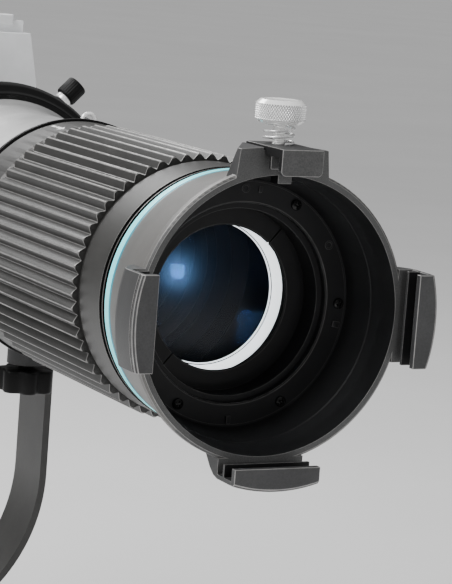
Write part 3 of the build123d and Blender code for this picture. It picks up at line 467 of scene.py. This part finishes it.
# ---------------------------------------------------------------- CAD shapes with rounded edges
ROUNDING = {
    "front_holder": 0.35, "claw_plates": 0.5, "retaining_clip": 0.45, "screw_flange": 0.25,
    "lens_cell": 0.2, "lens_retaining_ring": 0.15, "collar_band": 0.15, "gasket": 0.1,
    "rear_barrel": 0.3, "stop_ring": 0.2, "barrel_flange": 0.5, "lock_boss": 0.4, "gate_front_plate": 0.3,
    "gate_shell": 0.2, "gate_boss": 0.4, "slot_tower": 0.8, "gobo_holder": 0.4,
    "shutter_front_plate": 0.4, "shutter_housing": 0.4, "rear_housing": 0.6, "lamp_plate": 0.4,
    "lamp_bayonet": 0.4, "plate_screws": 0.25, "yoke_frame": 0.5, "pivot_bolt": 0.5,
    "pivot_washers": 0.2, "stand_socket": 0.8, "yoke_bolt": 0.4, "bail_bracket": 0.2,
    "wire_bail": 0.1, "inner_barrel": 0.2, "lens_carriage": 0.2, "rear_lens_ring": 0.15,
    "cam_pins": 0.2, "condenser_cell": 0.3, "shutter_separators": 0.1,
    "shutter_top": 0.2, "shutter_right": 0.2, "shutter_bottom": 0.2, "shutter_left": 0.2,
    "shutter_grip_top": 0.7, "shutter_grip_right": 0.7,
    "shutter_grip_bottom": 0.7, "shutter_grip_left": 0.7,
}
skins = {}
for node, width in ROUNDING.items():
    skins[node] = skin(node, rounded_copy(node, width))
    weighted = skins[node].modifiers.new("steady", "WEIGHTED_NORMAL")
    weighted.keep_sharp = True

RIM_INNER, RIM_OUTER = 56.7, 60.0
GROOVE_R, LIP_R = 53.6, 54.35
HOLDER_FRONT = -12.0
CLIP_POCKET = 9.9
POCKET_LOW, POCKET_HIGH = 57.0, 66.0
COLLAR_STEP = 47.0
CLIP_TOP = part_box("retaining_clip")[1][2] / MM


def outward(middle, normal):
    """How far a face looks away from the optical axis, from -1 to 1."""
    reach = hypot(middle.x, middle.z)
    return (middle.x * normal.x + middle.z * normal.z) / reach if reach > 1 else 0.0


def in_bore(reach, middle, normal):
    """The dull black inside of the front holder."""
    return reach < RIM_INNER + 0.6 and middle.y > 0.5 and outward(middle, normal) < 0.1


def in_slot(reach, middle, normal):
    """The walls of the accessory slots and of the pocket under the clip, which take painted shade."""
    walls = HOLDER_FRONT - 0.2 < middle.y < -0.6 and abs(normal.y) > 0.7 and reach > RIM_INNER
    beside = abs(middle.x) < CLIP_POCKET and middle.y > HOLDER_FRONT
    pocket = beside and POCKET_LOW < middle.z < POCKET_HIGH
    return walls or (pocket and normal.y < 0.5)


def on_cone(reach, middle, normal):
    """The cone outside the bore."""
    return reach < RIM_OUTER + 0.3 and middle.y > 0.3 and outward(middle, normal) > 0.5


def on_rim(reach, middle, normal):
    """The front face of the rim."""
    return RIM_INNER - 0.2 < reach < RIM_OUTER + 0.1 and -0.4 < middle.y < 0.5


def on_plate(reach, middle, normal):
    """The front plate of the clip."""
    return normal.y < -0.9


def on_cheek(reach, middle, normal):
    """The shaded sides of the clip behind its front plate."""
    inner = abs(middle.x) < CLIP_POCKET and middle.z < CLIP_TOP - 1.5 and normal.y > -0.9
    return middle.y > HOLDER_FRONT + 1.0 and (abs(normal.x) > 0.8 or inner)


def in_collar_groove(reach, middle, normal):
    """The black groove at the front of the collar band."""
    return middle.y < COLLAR_STEP and (reach < GROOVE_R or (normal.y < -0.5 and reach < LIP_R))


# Second finishes on the holder, clip and collar; the slots, the pocket and the clip's sides get painted
# shade.
for owner, coat, test in (
    ("front_holder", BORE_BLACK_AND_PAINTED_SHADE, in_bore), ("front_holder", CONE_GREY, on_cone),
    ("front_holder", RIM_GREY, on_rim), ("front_holder", BORE_BLACK_AND_PAINTED_SHADE, in_slot),
    ("retaining_clip", RIM_GREY, on_plate), ("retaining_clip", BORE_BLACK_AND_PAINTED_SHADE, on_cheek),
    ("collar_band", MATERIALS["gasket_rubber"], in_collar_groove),
):
    second_material(skins[owner], coat, test)


# ---------------------------------------------------------------- optics
def cap(edge_r, vertex_y, edge_y, steps=14):
    """Rings of a spherical face from the axis to its edge."""
    sag = edge_y - vertex_y
    ball = (edge_r ** 2 + sag ** 2) / (2 * sag)
    rings = []
    for k in range(steps + 1):
        r = edge_r * k / steps
        rings.append((r, vertex_y + ball - (1 if ball > 0 else -1) * sqrt(ball ** 2 - r ** 2)))
    return rings


def make_lens(node, edge_r, front, back):
    """A lens: front and back are (clear radius, vertex, edge); equal vertex and edge means flat."""
    rings = []
    for (clear_r, vertex, edge), reverse in ((front, False), (back, True)):
        face = [(0, vertex), (clear_r, vertex)] if vertex == edge else cap(clear_r, vertex, edge)
        shoulder = [(edge_r - 0.3, edge), (edge_r, edge + (0.3 if not reverse else -0.3))]
        if clear_r >= edge_r - 0.5:
            shoulder = shoulder[1:]
        rings += (face + shoulder) if not reverse else (face + shoulder)[::-1]
    lens = skin(node, spun(rings, steps=144, angle=25.0))
    lens.visible_shadow = False
    return lens


front_lens = make_lens("front_lens", 36.0, (32.4, 43.4, 48.0), (30.6, 57.4, 53.0))
second_material(front_lens, COATED_GLASS, lambda reach, middle, normal: middle.y < 48.2 and normal.y < -0.5)
make_lens("rear_lens", 41.0, (40.2, 134.0, 134.0), (37.0, 147.6, 138.0))
make_lens("condenser_lens", 48.0, (46.0, 412.0, 430.0), (47.2, 436.0, 436.0))

seat_lo, seat_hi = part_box("seat_ring")
SEAT_FRONT, SEAT_BACK, SEAT_OUT = seat_lo[1] / MM, seat_hi[1] / MM, seat_hi[0] / MM
# The seat ring takes the glowing seat material, painted light inside the lens.
seat = add_piece("seat_ring_skin", turned_ring([
    (SEAT_OUT, SEAT_FRONT), (SEAT_OUT, SEAT_BACK), (29.4, SEAT_BACK), (29.2, SEAT_BACK - 0.6),
    (29.8, SEAT_BACK - 1.1), (30.1, SEAT_BACK - 0.9), (30.5, SEAT_BACK - 1.6), (33.4, SEAT_FRONT + 3.0),
    (33.6, SEAT_FRONT),
], ease=0.12), "projector", "bright_alloy", ["seat_ring"], SEAT_PAINTED_GLOW)
second_material(
    seat, MATERIALS["gasket_rubber"],
    lambda reach, middle, normal: 29.7 < reach < 30.2 or middle.y < SEAT_FRONT + 2.9,
)
# Painted highlight: the retaining ring's inner edge takes the bright alloy.
second_material(
    skins["lens_retaining_ring"], MATERIALS["bright_alloy"],
    lambda reach, middle, normal: reach < 30.5 and middle.y < 45.3,
)


# ---------------------------------------------------------------- rings behind the cone
accent_lo, accent_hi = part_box("accent_ring")
RING_FRONT, RING_BACK, RING_R = accent_lo[1] / MM, accent_hi[1] / MM, accent_hi[0] / MM
SEAT_R = 52.3
LIP_FRONT, LIP_BACK = RING_FRONT + 0.6, RING_FRONT + 1.8
band = skin("accent_ring", turned_ring([
    (SEAT_R, LIP_BACK), (RING_R, LIP_BACK), (RING_R, RING_BACK - 0.5), (RING_R, RING_BACK),
    (SEAT_R, RING_BACK),
], 0.15), "accent_ring_band")
second_material(band, MATERIALS["gasket_rubber"], lambda reach, middle, normal: middle.y > RING_BACK - 0.5)
# The front lip takes the darker teal, painted shade on the ring's front edge.
lip = add_piece("accent_ring_lip", turned_ring([
    (SEAT_R, RING_FRONT), (RING_R - 0.15, RING_FRONT), (RING_R - 0.15, LIP_FRONT), (RING_R - 0.1, LIP_BACK),
    (SEAT_R, LIP_BACK),
], 0.1), BODY_OF["accent_ring"], "teal_accent", material=TEAL_PAINTED_SHADE)
second_material(lip, CONE_GREY, lambda reach, middle, normal: middle.y < LIP_FRONT - 0.05)


# ---------------------------------------------------------------- ribbed focus sleeve
RIB_COUNT = 60
RIB_TIP, RIB_ROOT = 57.3, 54.7
CREST_AT = 0.48
CREST_HALF = 0.055
VALLEY_HALF = 0.035
RIB_FRONT, RIB_BACK = 68.5, 175.5
BAND_R = 56.3
SLEEVE_BORE, RELIEF_BORE = 50.7, 52.0
RELIEF_FRONT, RELIEF_BACK = 81.5, 184.0
INDEX_Y, INDEX_TURN = 187.5, 106.0


def rib_radius(cut):
    """V-grooves between narrow rounded crests; cut lowers the crests and eases their ends."""
    def radius(turn):
        phase = (turn / (2 * pi) * RIB_COUNT - CREST_AT) % 1.0
        away = min(phase, 1.0 - phase)
        if away < CREST_HALF:
            share = 1.0 - 0.035 * (away / CREST_HALF) ** 2
        else:
            share = 0.965 * max(0.0, (0.5 - VALLEY_HALF - away) / (0.5 - VALLEY_HALF - CREST_HALF))
        return min(RIB_ROOT + (RIB_TIP - RIB_ROOT) * share, RIB_TIP - cut)
    return radius


def rib_wear_and_highlight(turn):
    """Crests get the full mark, wear and a painted highlight, and the valley floors a lesser one, a painted
    highlight line.
    """
    phase = (turn / (2 * pi) * RIB_COUNT - CREST_AT) % 1.0
    away = min(phase, 1.0 - phase)
    return 1.0 if away < CREST_HALF + 0.01 else 0.7 if away > 0.5 - VALLEY_HALF else 0.0


sleeve_lo, sleeve_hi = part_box("focus_sleeve")
SLEEVE_FRONT, SLEEVE_BACK = sleeve_lo[1] / MM, sleeve_hi[1] / MM
sleeve_rings = [
    (SLEEVE_BORE, SLEEVE_FRONT), (53.2, SLEEVE_FRONT), (53.5, SLEEVE_FRONT + 0.3), (53.7, RIB_FRONT),
    (rib_radius(0.7), RIB_FRONT), (rib_radius(0.25), RIB_FRONT + 0.15), (rib_radius(0.0), RIB_FRONT + 0.6),
    (rib_radius(0.0), RIB_BACK - 1.4), (rib_radius(0.25), RIB_BACK - 0.5),
    (lambda turn: max(rib_radius(0.8)(turn), BAND_R - 1.0), RIB_BACK),
    (BAND_R, RIB_BACK + 0.9), (BAND_R, SLEEVE_BACK - 0.8), (BAND_R - 0.25, SLEEVE_BACK - 0.25),
    (BAND_R - 0.8, SLEEVE_BACK), (SLEEVE_BORE, SLEEVE_BACK), (SLEEVE_BORE, RELIEF_BACK + 1.5),
    (RELIEF_BORE, RELIEF_BACK), (RELIEF_BORE, RELIEF_FRONT), (SLEEVE_BORE, RELIEF_FRONT - 1.5),
]
# Edge marks of the sleeve: painted highlight lines on the crests, the valley floors, the chamfers and the
# rear edge, partly wear.
sleeve_marks = [0, 1, 0, 0, 1, 1, rib_wear_and_highlight, rib_wear_and_highlight, rib_wear_and_highlight, 0.4, 0, 1, 1, 0, 0, 0, 0, 0, 0]
skin("focus_sleeve", spun(
    sleeve_rings, steps=RIB_COUNT * 16, closed=True, marks=sleeve_marks, angle=24.0
))


def band_patch(outline, radius, y_middle, turn_middle, height=0.06):
    """A thin printed mark on a round band; the outline is (along the axis, round the band) in mm."""
    work = bmesh.new()
    top = []
    for along, around in outline:
        turn = radians(turn_middle) + around / radius
        reach = radius + height
        top.append(work.verts.new(Vector((cos(turn) * reach, y_middle + along, sin(turn) * reach)) * MM))
    face = work.faces.new(top)
    bmesh.ops.recalc_face_normals(work, faces=[face])
    if face.normal.dot(Vector((cos(radians(turn_middle)), 0, sin(radians(turn_middle))))) < 0:
        face.normal_flip()
    sunk = bmesh.ops.extrude_face_region(work, geom=[face])
    for vert in (v for v in sunk["geom"] if isinstance(v, bmesh.types.BMVert)):
        out = Vector((vert.co.x, 0, vert.co.z)).normalized()
        vert.co -= out * height * 1.5 * MM
    bmesh.ops.recalc_face_normals(work, faces=work.faces)
    mesh = bpy.data.meshes.new("printed")
    work.to_mesh(mesh)
    work.free()
    return mesh


arrow = [(-6.5, 0), (-3.0, -2.2), (-3.0, -0.8), (1.2, -0.8), (1.2, 0.8), (-3.0, 0.8), (-3.0, 2.2)]
dash = [(2.4, -0.8), (6.6, -0.8), (6.6, 0.8), (2.4, 0.8)]
for label, outline in (("index_arrow", arrow), ("index_dash", dash)):
    printed = band_patch(outline, BAND_R, INDEX_Y, INDEX_TURN)
    add_piece(label, printed, "focus", "sleeve_black", material=PRINT_WHITE)


# ---------------------------------------------------------------- thumb screw and its spring
screw_lo, screw_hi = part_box("thumb_screw")
SCREW_X = (screw_lo[0] + screw_hi[0]) / 2 / MM
SCREW_Y = (screw_lo[1] + screw_hi[1]) / 2 / MM
KNOB_TOP = screw_hi[2] / MM
KNOB_R = (screw_hi[0] - screw_lo[0]) / 2 / MM
KNOB_LOW = KNOB_TOP - 9.4
KNOB_BEVEL = 1.7
STEM_R = 2.45
STEM_LOW = 59.0
NECK_R = 2.25
THREAD_PITCH, THREAD_DEPTH = 0.8, 0.22
KNURL_STEPS = 448


def diamond(turn, height, around=56, per_mm=0.6):
    """Depth share of a diamond knurl: two crossing sets of spiral grooves."""
    first = (turn * around / (2 * pi) + height * per_mm) % 1.0
    second = (turn * around / (2 * pi) - height * per_mm) % 1.0
    return min(1 - abs(2 * first - 1), 1 - abs(2 * second - 1))


def make_thumb_screw():
    depth, rows = 0.5, 42
    low, high = KNOB_LOW + KNOB_BEVEL, KNOB_TOP - KNOB_BEVEL
    rings = [(0, STEM_LOW), (NECK_R - 0.4, STEM_LOW), (NECK_R, STEM_LOW + 0.4), (NECK_R, CLIP_TOP)]
    z = CLIP_TOP + 0.2
    while z < KNOB_LOW - 1.2:
        rings += [(STEM_R, z), (STEM_R - THREAD_DEPTH, z + 0.3), (STEM_R, z + 0.6)]
        z += THREAD_PITCH
    rings += [(STEM_R, KNOB_LOW - 0.4), (STEM_R + 0.5, KNOB_LOW), (KNOB_R - KNOB_BEVEL - 0.3, KNOB_LOW)]
    rings += [(KNOB_R - KNOB_BEVEL, KNOB_LOW + 0.15), (KNOB_R - 0.25, low - 0.15)]
    marks = [0.0] * len(rings)
    for k in range(rows + 1):
        height = low + (high - low) * k / rows
        fade = min(1.0, k / 2, (rows - k) / 2)
        rings.append((
            lambda turn, h=height, f=fade: KNOB_R - depth * f * (1 - diamond(turn, h)) - 0.02, height
        ))
        # The knurl's depth goes into the edge mark, low in the grooves, where the knurled chrome paints
        # shade.
        marks.append(lambda turn, h=height: diamond(turn, h))
    rings += [(KNOB_R - 0.25, high + 0.15), (KNOB_R - KNOB_BEVEL, KNOB_TOP - 0.15)]
    rings += [(KNOB_R - KNOB_BEVEL - 0.3, KNOB_TOP), (KNOB_R - 3.4, KNOB_TOP)]
    rings += [(KNOB_R - 3.8, KNOB_TOP - 0.25), (1.2, KNOB_TOP - 0.25), (0, KNOB_TOP - 0.4)]
    marks += [0.0] * 7
    knob = skin("thumb_screw", spun(
        rings, (SCREW_X, SCREW_Y, 0), Z_AXIS, steps=KNURL_STEPS, marks=marks, angle=60.0
    ))
    knob.data.materials.append(KNURLED_CHROME)
    for face in knob.data.polygons:
        if low - 0.1 < face.center.z / MM < high + 0.1:
            face.material_index = 1


def coil(radius, wire, low, high, turns, centre):
    """A round wire coil with its end turns flattened against their seats."""
    work = bmesh.new()
    spans, sides = int(turns * 48), 12
    path = []
    for k in range(spans + 1):
        share = k / spans
        eased_share = share - sin(4 * pi * share) / (4 * pi) * 0.35
        turn = 2 * pi * turns * share - pi / 2
        path.append(Vector((centre[0] + radius * cos(turn), centre[1] + radius * sin(turn),
                            low + (high - low) * eased_share)))
    loops = []
    for k, point in enumerate(path):
        ahead = (path[min(k + 1, spans)] - path[max(k - 1, 0)]).normalized()
        out = Vector((point.x - centre[0], point.y - centre[1], 0)).normalized()
        lift = ahead.cross(out)
        around = [2 * pi * i / sides for i in range(sides)]
        loops.append([
            work.verts.new((point + (out * cos(a) + lift * sin(a)) * wire) * MM) for a in around
        ])
    for a, b in zip(loops, loops[1:]):
        for i in range(sides):
            work.faces.new((a[i], a[(i + 1) % sides], b[(i + 1) % sides], b[i]))
    work.faces.new(loops[0][::-1])
    work.faces.new(loops[-1])
    bmesh.ops.recalc_face_normals(work, faces=work.faces)
    mesh = bpy.data.meshes.new("coil")
    work.to_mesh(mesh)
    work.free()
    shade(mesh, 50.0)
    return mesh


make_thumb_screw()
spring_lo, spring_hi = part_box("clip_spring")
SPRING_WIRE = 0.48
SPRING_R = (spring_hi[0] - spring_lo[0]) / 2 / MM - SPRING_WIRE
spring_piece = add_piece("clip_spring_coil", coil(
    SPRING_R, SPRING_WIRE, spring_lo[2] / MM + SPRING_WIRE, spring_hi[2] / MM - SPRING_WIRE, 2.6,
    (SCREW_X, SCREW_Y),
), "projector", "spring_steel", ["clip_spring"])
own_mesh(spring_piece)


# ---------------------------------------------------------------- pan-head screws
def pan_head(centre, seat_y, radius, height, turn):
    """A domed cross-recess head on the flange, facing the front."""
    work = bmesh.new()
    rings, steps = 22, 48
    arm, slot, sink = radius * 0.6, radius * 0.17, height * 0.6
    rows = []
    for k in range(rings + 1):
        share = k / rings
        r = radius * share
        dome_h = height * (1 - 0.42 * share ** 3.2) if share < 0.97 else height * 0.4
        row = []
        for i in range(steps):
            phi = 2 * pi * i / steps
            a, b = abs(r * cos(phi)), abs(r * sin(phi))
            reach = min(max(a - arm, b - slot), max(b - arm, a - slot))
            dip = sink * min(1.0, max(0.0, 0.5 - reach / 0.14)) * (1 - 0.35 * share)
            x = centre[0] + r * cos(phi + turn)
            z = centre[1] + r * sin(phi + turn)
            row.append(work.verts.new(Vector((x, seat_y - dome_h + dip, z)) * MM))
        rows.append(row)
    rows.append([
        work.verts.new(Vector((
            centre[0] + radius * cos(2 * pi * i / steps + turn), seat_y - 0.02,
            centre[1] + radius * sin(2 * pi * i / steps + turn),
        )) * MM) for i in range(steps)
    ])
    for low, high in zip(rows, rows[1:]):
        for i in range(steps):
            work.faces.new((low[i], low[(i + 1) % steps], high[(i + 1) % steps], high[i]))
    work.faces.new(rows[-1])
    bmesh.ops.remove_doubles(work, verts=work.verts, dist=1e-7)
    bmesh.ops.recalc_face_normals(work, faces=work.faces)
    mesh = bpy.data.meshes.new("pan_head")
    work.to_mesh(mesh)
    work.free()
    return mesh


heads_lo, heads_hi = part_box("flange_screws")
HEAD_R = 2.3
HEAD_H = 1.7
LEDGE_Y = heads_lo[1] / MM + HEAD_H
SCREW_CIRCLE = heads_hi[0] / MM - HEAD_R
head_meshes = []
for i in range(6):
    turn = radians(60 * i)
    head_meshes.append(pan_head(
        (SCREW_CIRCLE * cos(turn), SCREW_CIRCLE * sin(turn)), LEDGE_Y, HEAD_R, HEAD_H, 0.4 + 1.1 * i
    ))
skin("flange_screws", joined(head_meshes))


# ---------------------------------------------------------------- hand knobs
def lobed(radius, depth, lobes, inset=0.0, sharp=1.4):
    """Radius round a lobed knob, with wide lobes and narrower hollows."""
    def at(turn):
        wave = 0.5 + 0.5 * cos(turn * lobes)
        return radius - depth * (1 - wave) ** sharp - inset
    return at


def lobed_grip(radius, depth, lobes, low, high, ease, hub):
    """Rings of a lobed grip from low to high with rounded rims and a shallow hub on the far side."""
    rings = [(0, low)]
    rings += [(lobed(radius, depth, lobes, ease + 0.02), low)]
    for k in range(1, 5):
        a = k / 4 * pi / 2
        rings.append((lobed(radius, depth, lobes, ease * (1 - sin(a))), low + ease * (1 - cos(a))))
    for k in range(0, 5):
        a = k / 4 * pi / 2
        rings.append((lobed(radius, depth, lobes, ease * (1 - cos(a))), high - ease * (1 - sin(a))))
    rings += [(hub + 0.6, high), (hub, high - 0.5), (hub - 1.0, high - 0.5), (0, high - 0.2)]
    return rings


LOBED_Y, LOBED_TOP = 243.0, -68.5
PIVOT_Y = 434.0


def make_lobed_knob():
    low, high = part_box("lobed_knob")
    x, y = (low[0] + high[0]) / 2 / MM, LOBED_Y
    bottom, top = low[2] / MM, LOBED_TOP
    grip = lobed_grip(14.0, 2.4, 7, -top, -bottom, 1.2, 5.2)
    knob = spun(grip, (x, y, 0), (0, 0, -1), steps=7 * 24, angle=50.0)
    stud = spun([(0, 0), (3.9, 0), (3.9, 13.5), (3.4, 14.0), (0, 14.0)], (x, y, top), Z_AXIS, steps=48)
    skin("lobed_knob", joined([knob, stud]))


def make_tilt_knob():
    low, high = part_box("tilt_knob")
    outer = high[0] / MM
    inner = outer - 15.0
    grip = lobed_grip(20.0, 4.0, 6, inner, outer, 1.6, 8.0)
    knob = spun(grip, (0, PIVOT_Y, 0), (1, 0, 0), steps=6 * 28, angle=50.0)
    neck, marks = eased([(0, low[0] / MM), (5.9, low[0] / MM), (5.9, inner - 5.0), (11.0, inner - 5.0),
                         (11.0, inner + 0.2), (0, inner + 0.2)], 0.5, closed=False)
    hub = spun(neck, (0, PIVOT_Y, 0), (1, 0, 0), steps=64, marks=marks)
    skin("tilt_knob", joined([knob, hub]))


def make_socket_screw():
    low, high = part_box("socket_screw")
    z = (low[2] + high[2]) / 2 / MM
    front, back = low[1] / MM, high[1] / MM
    grip = lobed_grip(13.0, 2.6, 6, -(front + 12.0), -front, 1.2, 5.0)
    knob = spun(grip, (0, 0, z), (0, -1, 0), steps=6 * 24, angle=50.0)
    stud = spun([(0, front + 11.8), (3.95, front + 11.8), (3.95, back - 0.8), (3.2, back), (0, back)],
                (0, 0, z), Y_AXIS, steps=48)
    skin("socket_screw", joined([knob, stud]))


def make_gate_knob():
    """A small fluted grip on a stud, square to the shell at 45 degrees."""
    low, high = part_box("gate_knob_collar")
    y = (low[1] + high[1]) / 2 / MM
    out = (cos(radians(45)), 0, sin(radians(45)))
    flutes, radius = 26, 5.7
    grip_low, grip_high = 77.0, 87.0
    collar_low, collar_r = 74.2, 4.2
    stud_low, stud_r = 56.2, 1.95

    def fluted(inset):
        return lambda turn: radius - inset - 0.22 * (0.5 + 0.5 * cos(turn * flutes)) ** 2

    rings = [
        (0, stud_low), (stud_r - 0.25, stud_low), (stud_r, stud_low + 0.3), (stud_r, grip_low),
        (radius - 0.9, grip_low), (radius - 0.4, grip_low + 0.15), (radius - 0.1, grip_low + 0.7),
        (fluted(0.05), grip_low + 1.0), (fluted(0.0), grip_low + 1.2), (fluted(0.0), grip_high - 1.4),
        (fluted(0.05), grip_high - 1.2), (radius - 0.1, grip_high - 0.9), (radius - 0.3, grip_high - 0.4),
        (radius - 0.8, grip_high - 0.05), (3.4, grip_high), (3.0, grip_high - 0.3), (0, grip_high - 0.3),
    ]
    skin("gate_knob", spun(rings, (0, y, 0), out, steps=flutes * 8, angle=50.0))
    collar_bore = stud_r + 0.03
    outline, marks = eased([
        (collar_bore, collar_low), (collar_r, collar_low), (collar_r, grip_low), (collar_bore, grip_low),
    ], 0.5)
    skin("gate_knob_collar", spun(outline, (0, y, 0), out, steps=96, closed=True, marks=marks))


make_lobed_knob()
make_tilt_knob()
make_socket_screw()
make_gate_knob()


# ---------------------------------------------------------------- small cast details in the bore
def small_block(name, turn, radius, length, width, height, y_back):
    """A small moulded rib on the ledge, square to the radius."""
    work = bmesh.new()
    bmesh.ops.create_cube(work, size=1.0)
    bmesh.ops.scale(work, vec=Vector((width, height, length)) * MM, verts=work.verts)
    mark = work.faces.layers.float.new("edge")
    made = bmesh.ops.bevel(
        work, geom=work.edges[:], offset=0.25 * MM, segments=2, profile=0.5, affect="EDGES"
    )
    for face in made["faces"]:
        face[mark] = 1.0
    spin = Matrix.Rotation(-radians(turn), 4, "Y")
    shift = Matrix.Translation(Vector((radius, y_back - height / 2, 0)) * MM)
    bmesh.ops.transform(work, matrix=spin @ shift, verts=work.verts)
    mesh = bpy.data.meshes.new(name)
    work.to_mesh(mesh)
    work.free()
    shade(mesh)
    return add_piece(name, mesh, "projector", "inner_black")


LEDGE_R = 47.6
small_block("ledge_stop_right", -10.6, LEDGE_R, 2.6, 3.4, 1.0, LEDGE_Y + 0.1)
small_block("ledge_stop_bottom", -90.3, LEDGE_R + 0.6, 2.0, 3.4, 1.0, LEDGE_Y + 0.1)
small_block("ledge_stop_top", 82.0, LEDGE_R, 1.6, 2.6, 0.8, LEDGE_Y + 0.1)
for label, turn in (("ledge_plug_top", 90.0), ("ledge_plug_right", 31.0)):
    outline, marks = eased([(1.1, 0.05), (1.1, -0.3), (1.9, -0.3), (1.9, 0.05)], 0.2)
    middle = (LEDGE_R * cos(radians(turn)), LEDGE_Y, LEDGE_R * sin(radians(turn)))
    plug = spun(outline, middle, Y_AXIS, steps=40, closed=True, marks=marks)
    add_piece(label, plug, "projector", "inner_black")


# ---------------------------------------------------------------- stage, lights and camera
def area_light(name, place_at, look_at, size, power, colour=(1, 1, 1)):
    data = bpy.data.lights.new(name, "AREA")
    data.shape = "RECTANGLE"
    data.size, data.size_y = size
    data.energy = power
    data.color = colour
    lamp = bpy.data.objects.new(name, data)
    bpy.context.scene.collection.objects.link(lamp)
    lamp.location = place_at
    lamp.rotation_euler = (Vector(look_at) - Vector(place_at)).to_track_quat("-Z", "Y").to_euler()
    return lamp


FLOOR_REACH = 40.0
AZIMUTH, ELEVATION, ROLL = radians(-27.736), radians(8.606), radians(4.424)
CAMERA_AT = (-0.48763, -0.88649, 0.16169)
FOCAL_LENGTH = 158.95


def make_stage():
    """A pale floor under the object and a soft pale sky that darkens towards the horizon."""
    low = cad_box[0][2]
    reach = FLOOR_REACH
    mesh = bpy.data.meshes.new("floor")
    corners = [(-reach, -reach, low), (reach, -reach, low), (reach, reach, low), (-reach, reach, low)]
    mesh.from_pydata(corners, [], [(0, 1, 2, 3)])
    floor = bpy.data.objects.new("floor", mesh)
    bpy.context.scene.collection.objects.link(floor)
    material, tree, principled = shader("pale_floor")
    shades = ramp(tree, noise(tree, place(tree), 3.0), [(0.3, 0.74), (0.7, 0.78)])
    link(tree, shades, principled.inputs["Base Color"])
    principled.inputs["Roughness"].default_value = 0.85
    mesh.materials.append(material)
    world = bpy.data.worlds.new("studio")
    world.use_nodes = True
    tree = world.node_tree
    background = tree.nodes["Background"]
    coords = tree.nodes.new("ShaderNodeTexCoord")
    split = tree.nodes.new("ShaderNodeSeparateXYZ")
    link(tree, coords.outputs["Generated"], split.inputs["Vector"])
    sky = ramp(tree, split.outputs["Z"], [(0.0, 0.5), (0.12, 0.42), (0.9, 1.0)])
    link(tree, sky, background.inputs["Color"])
    background.inputs["Strength"].default_value = 0.4
    bpy.context.scene.world = world


def make_camera():
    """The viewing angle: low and from the front left, rolled a little clockwise."""
    right = Vector((cos(AZIMUTH), sin(AZIMUTH), 0))
    back = Vector((sin(AZIMUTH) * cos(ELEVATION), -cos(AZIMUTH) * cos(ELEVATION), sin(ELEVATION)))
    up = back.cross(right)
    rolled_right = right * cos(ROLL) + up * sin(ROLL)
    rolled_up = up * cos(ROLL) - right * sin(ROLL)
    data = bpy.data.cameras.new("camera")
    data.sensor_width = 36.0
    data.lens = FOCAL_LENGTH
    data.clip_end = 50.0
    camera = bpy.data.objects.new("camera", data)
    bpy.context.scene.collection.objects.link(camera)
    camera.matrix_world = Matrix((
        (rolled_right.x, rolled_up.x, back.x, CAMERA_AT[0]),
        (rolled_right.y, rolled_up.y, back.y, CAMERA_AT[1]),
        (rolled_right.z, rolled_up.z, back.z, CAMERA_AT[2]),
        (0, 0, 0, 1),
    ))
    bpy.context.scene.camera = camera


make_stage()
make_camera()
sun = bpy.data.lights.new("sun", "SUN")
sun.energy = 1.15
sun.angle = radians(25)
sun_lamp = bpy.data.objects.new("sun", sun)
bpy.context.scene.collection.objects.link(sun_lamp)
sun_lamp.rotation_euler = Vector((0.75, 0.12, -0.9)).to_track_quat("-Z", "Y").to_euler()
area_light("key", (-0.75, 0.0, 0.9), (0, 0.1, 0), (0.7, 0.7), 13.0)
front = area_light("front", (0.05, -1.3, 0.2), (0, 0.05, 0), (0.4, 0.4), 7.0)
front.visible_glossy = False
glow = area_light("glow", (0.1, -1.1, 0.05), (0, 0.05, 0), (0.12, 0.12), 7.0, (0.2, 0.48, 1.0))
lens_only = bpy.data.collections.new("lens_only")
lens_only.objects.link(front_lens)
glow.light_linking.receiver_collection = lens_only
area_light("side", (-1.15, -0.35, 0.55), (0, 0.1, 0), (0.7, 0.7), 1.2)
area_light("rim", (-0.3, 1.3, 1.1), (0, 0.2, 0), (1.2, 0.5), 22.0)

for node, cad_object in NODES.items():
    cad_object.data.materials.clear()
    cad_object.data.materials.append(MATERIALS[SLOT_OF[node]])
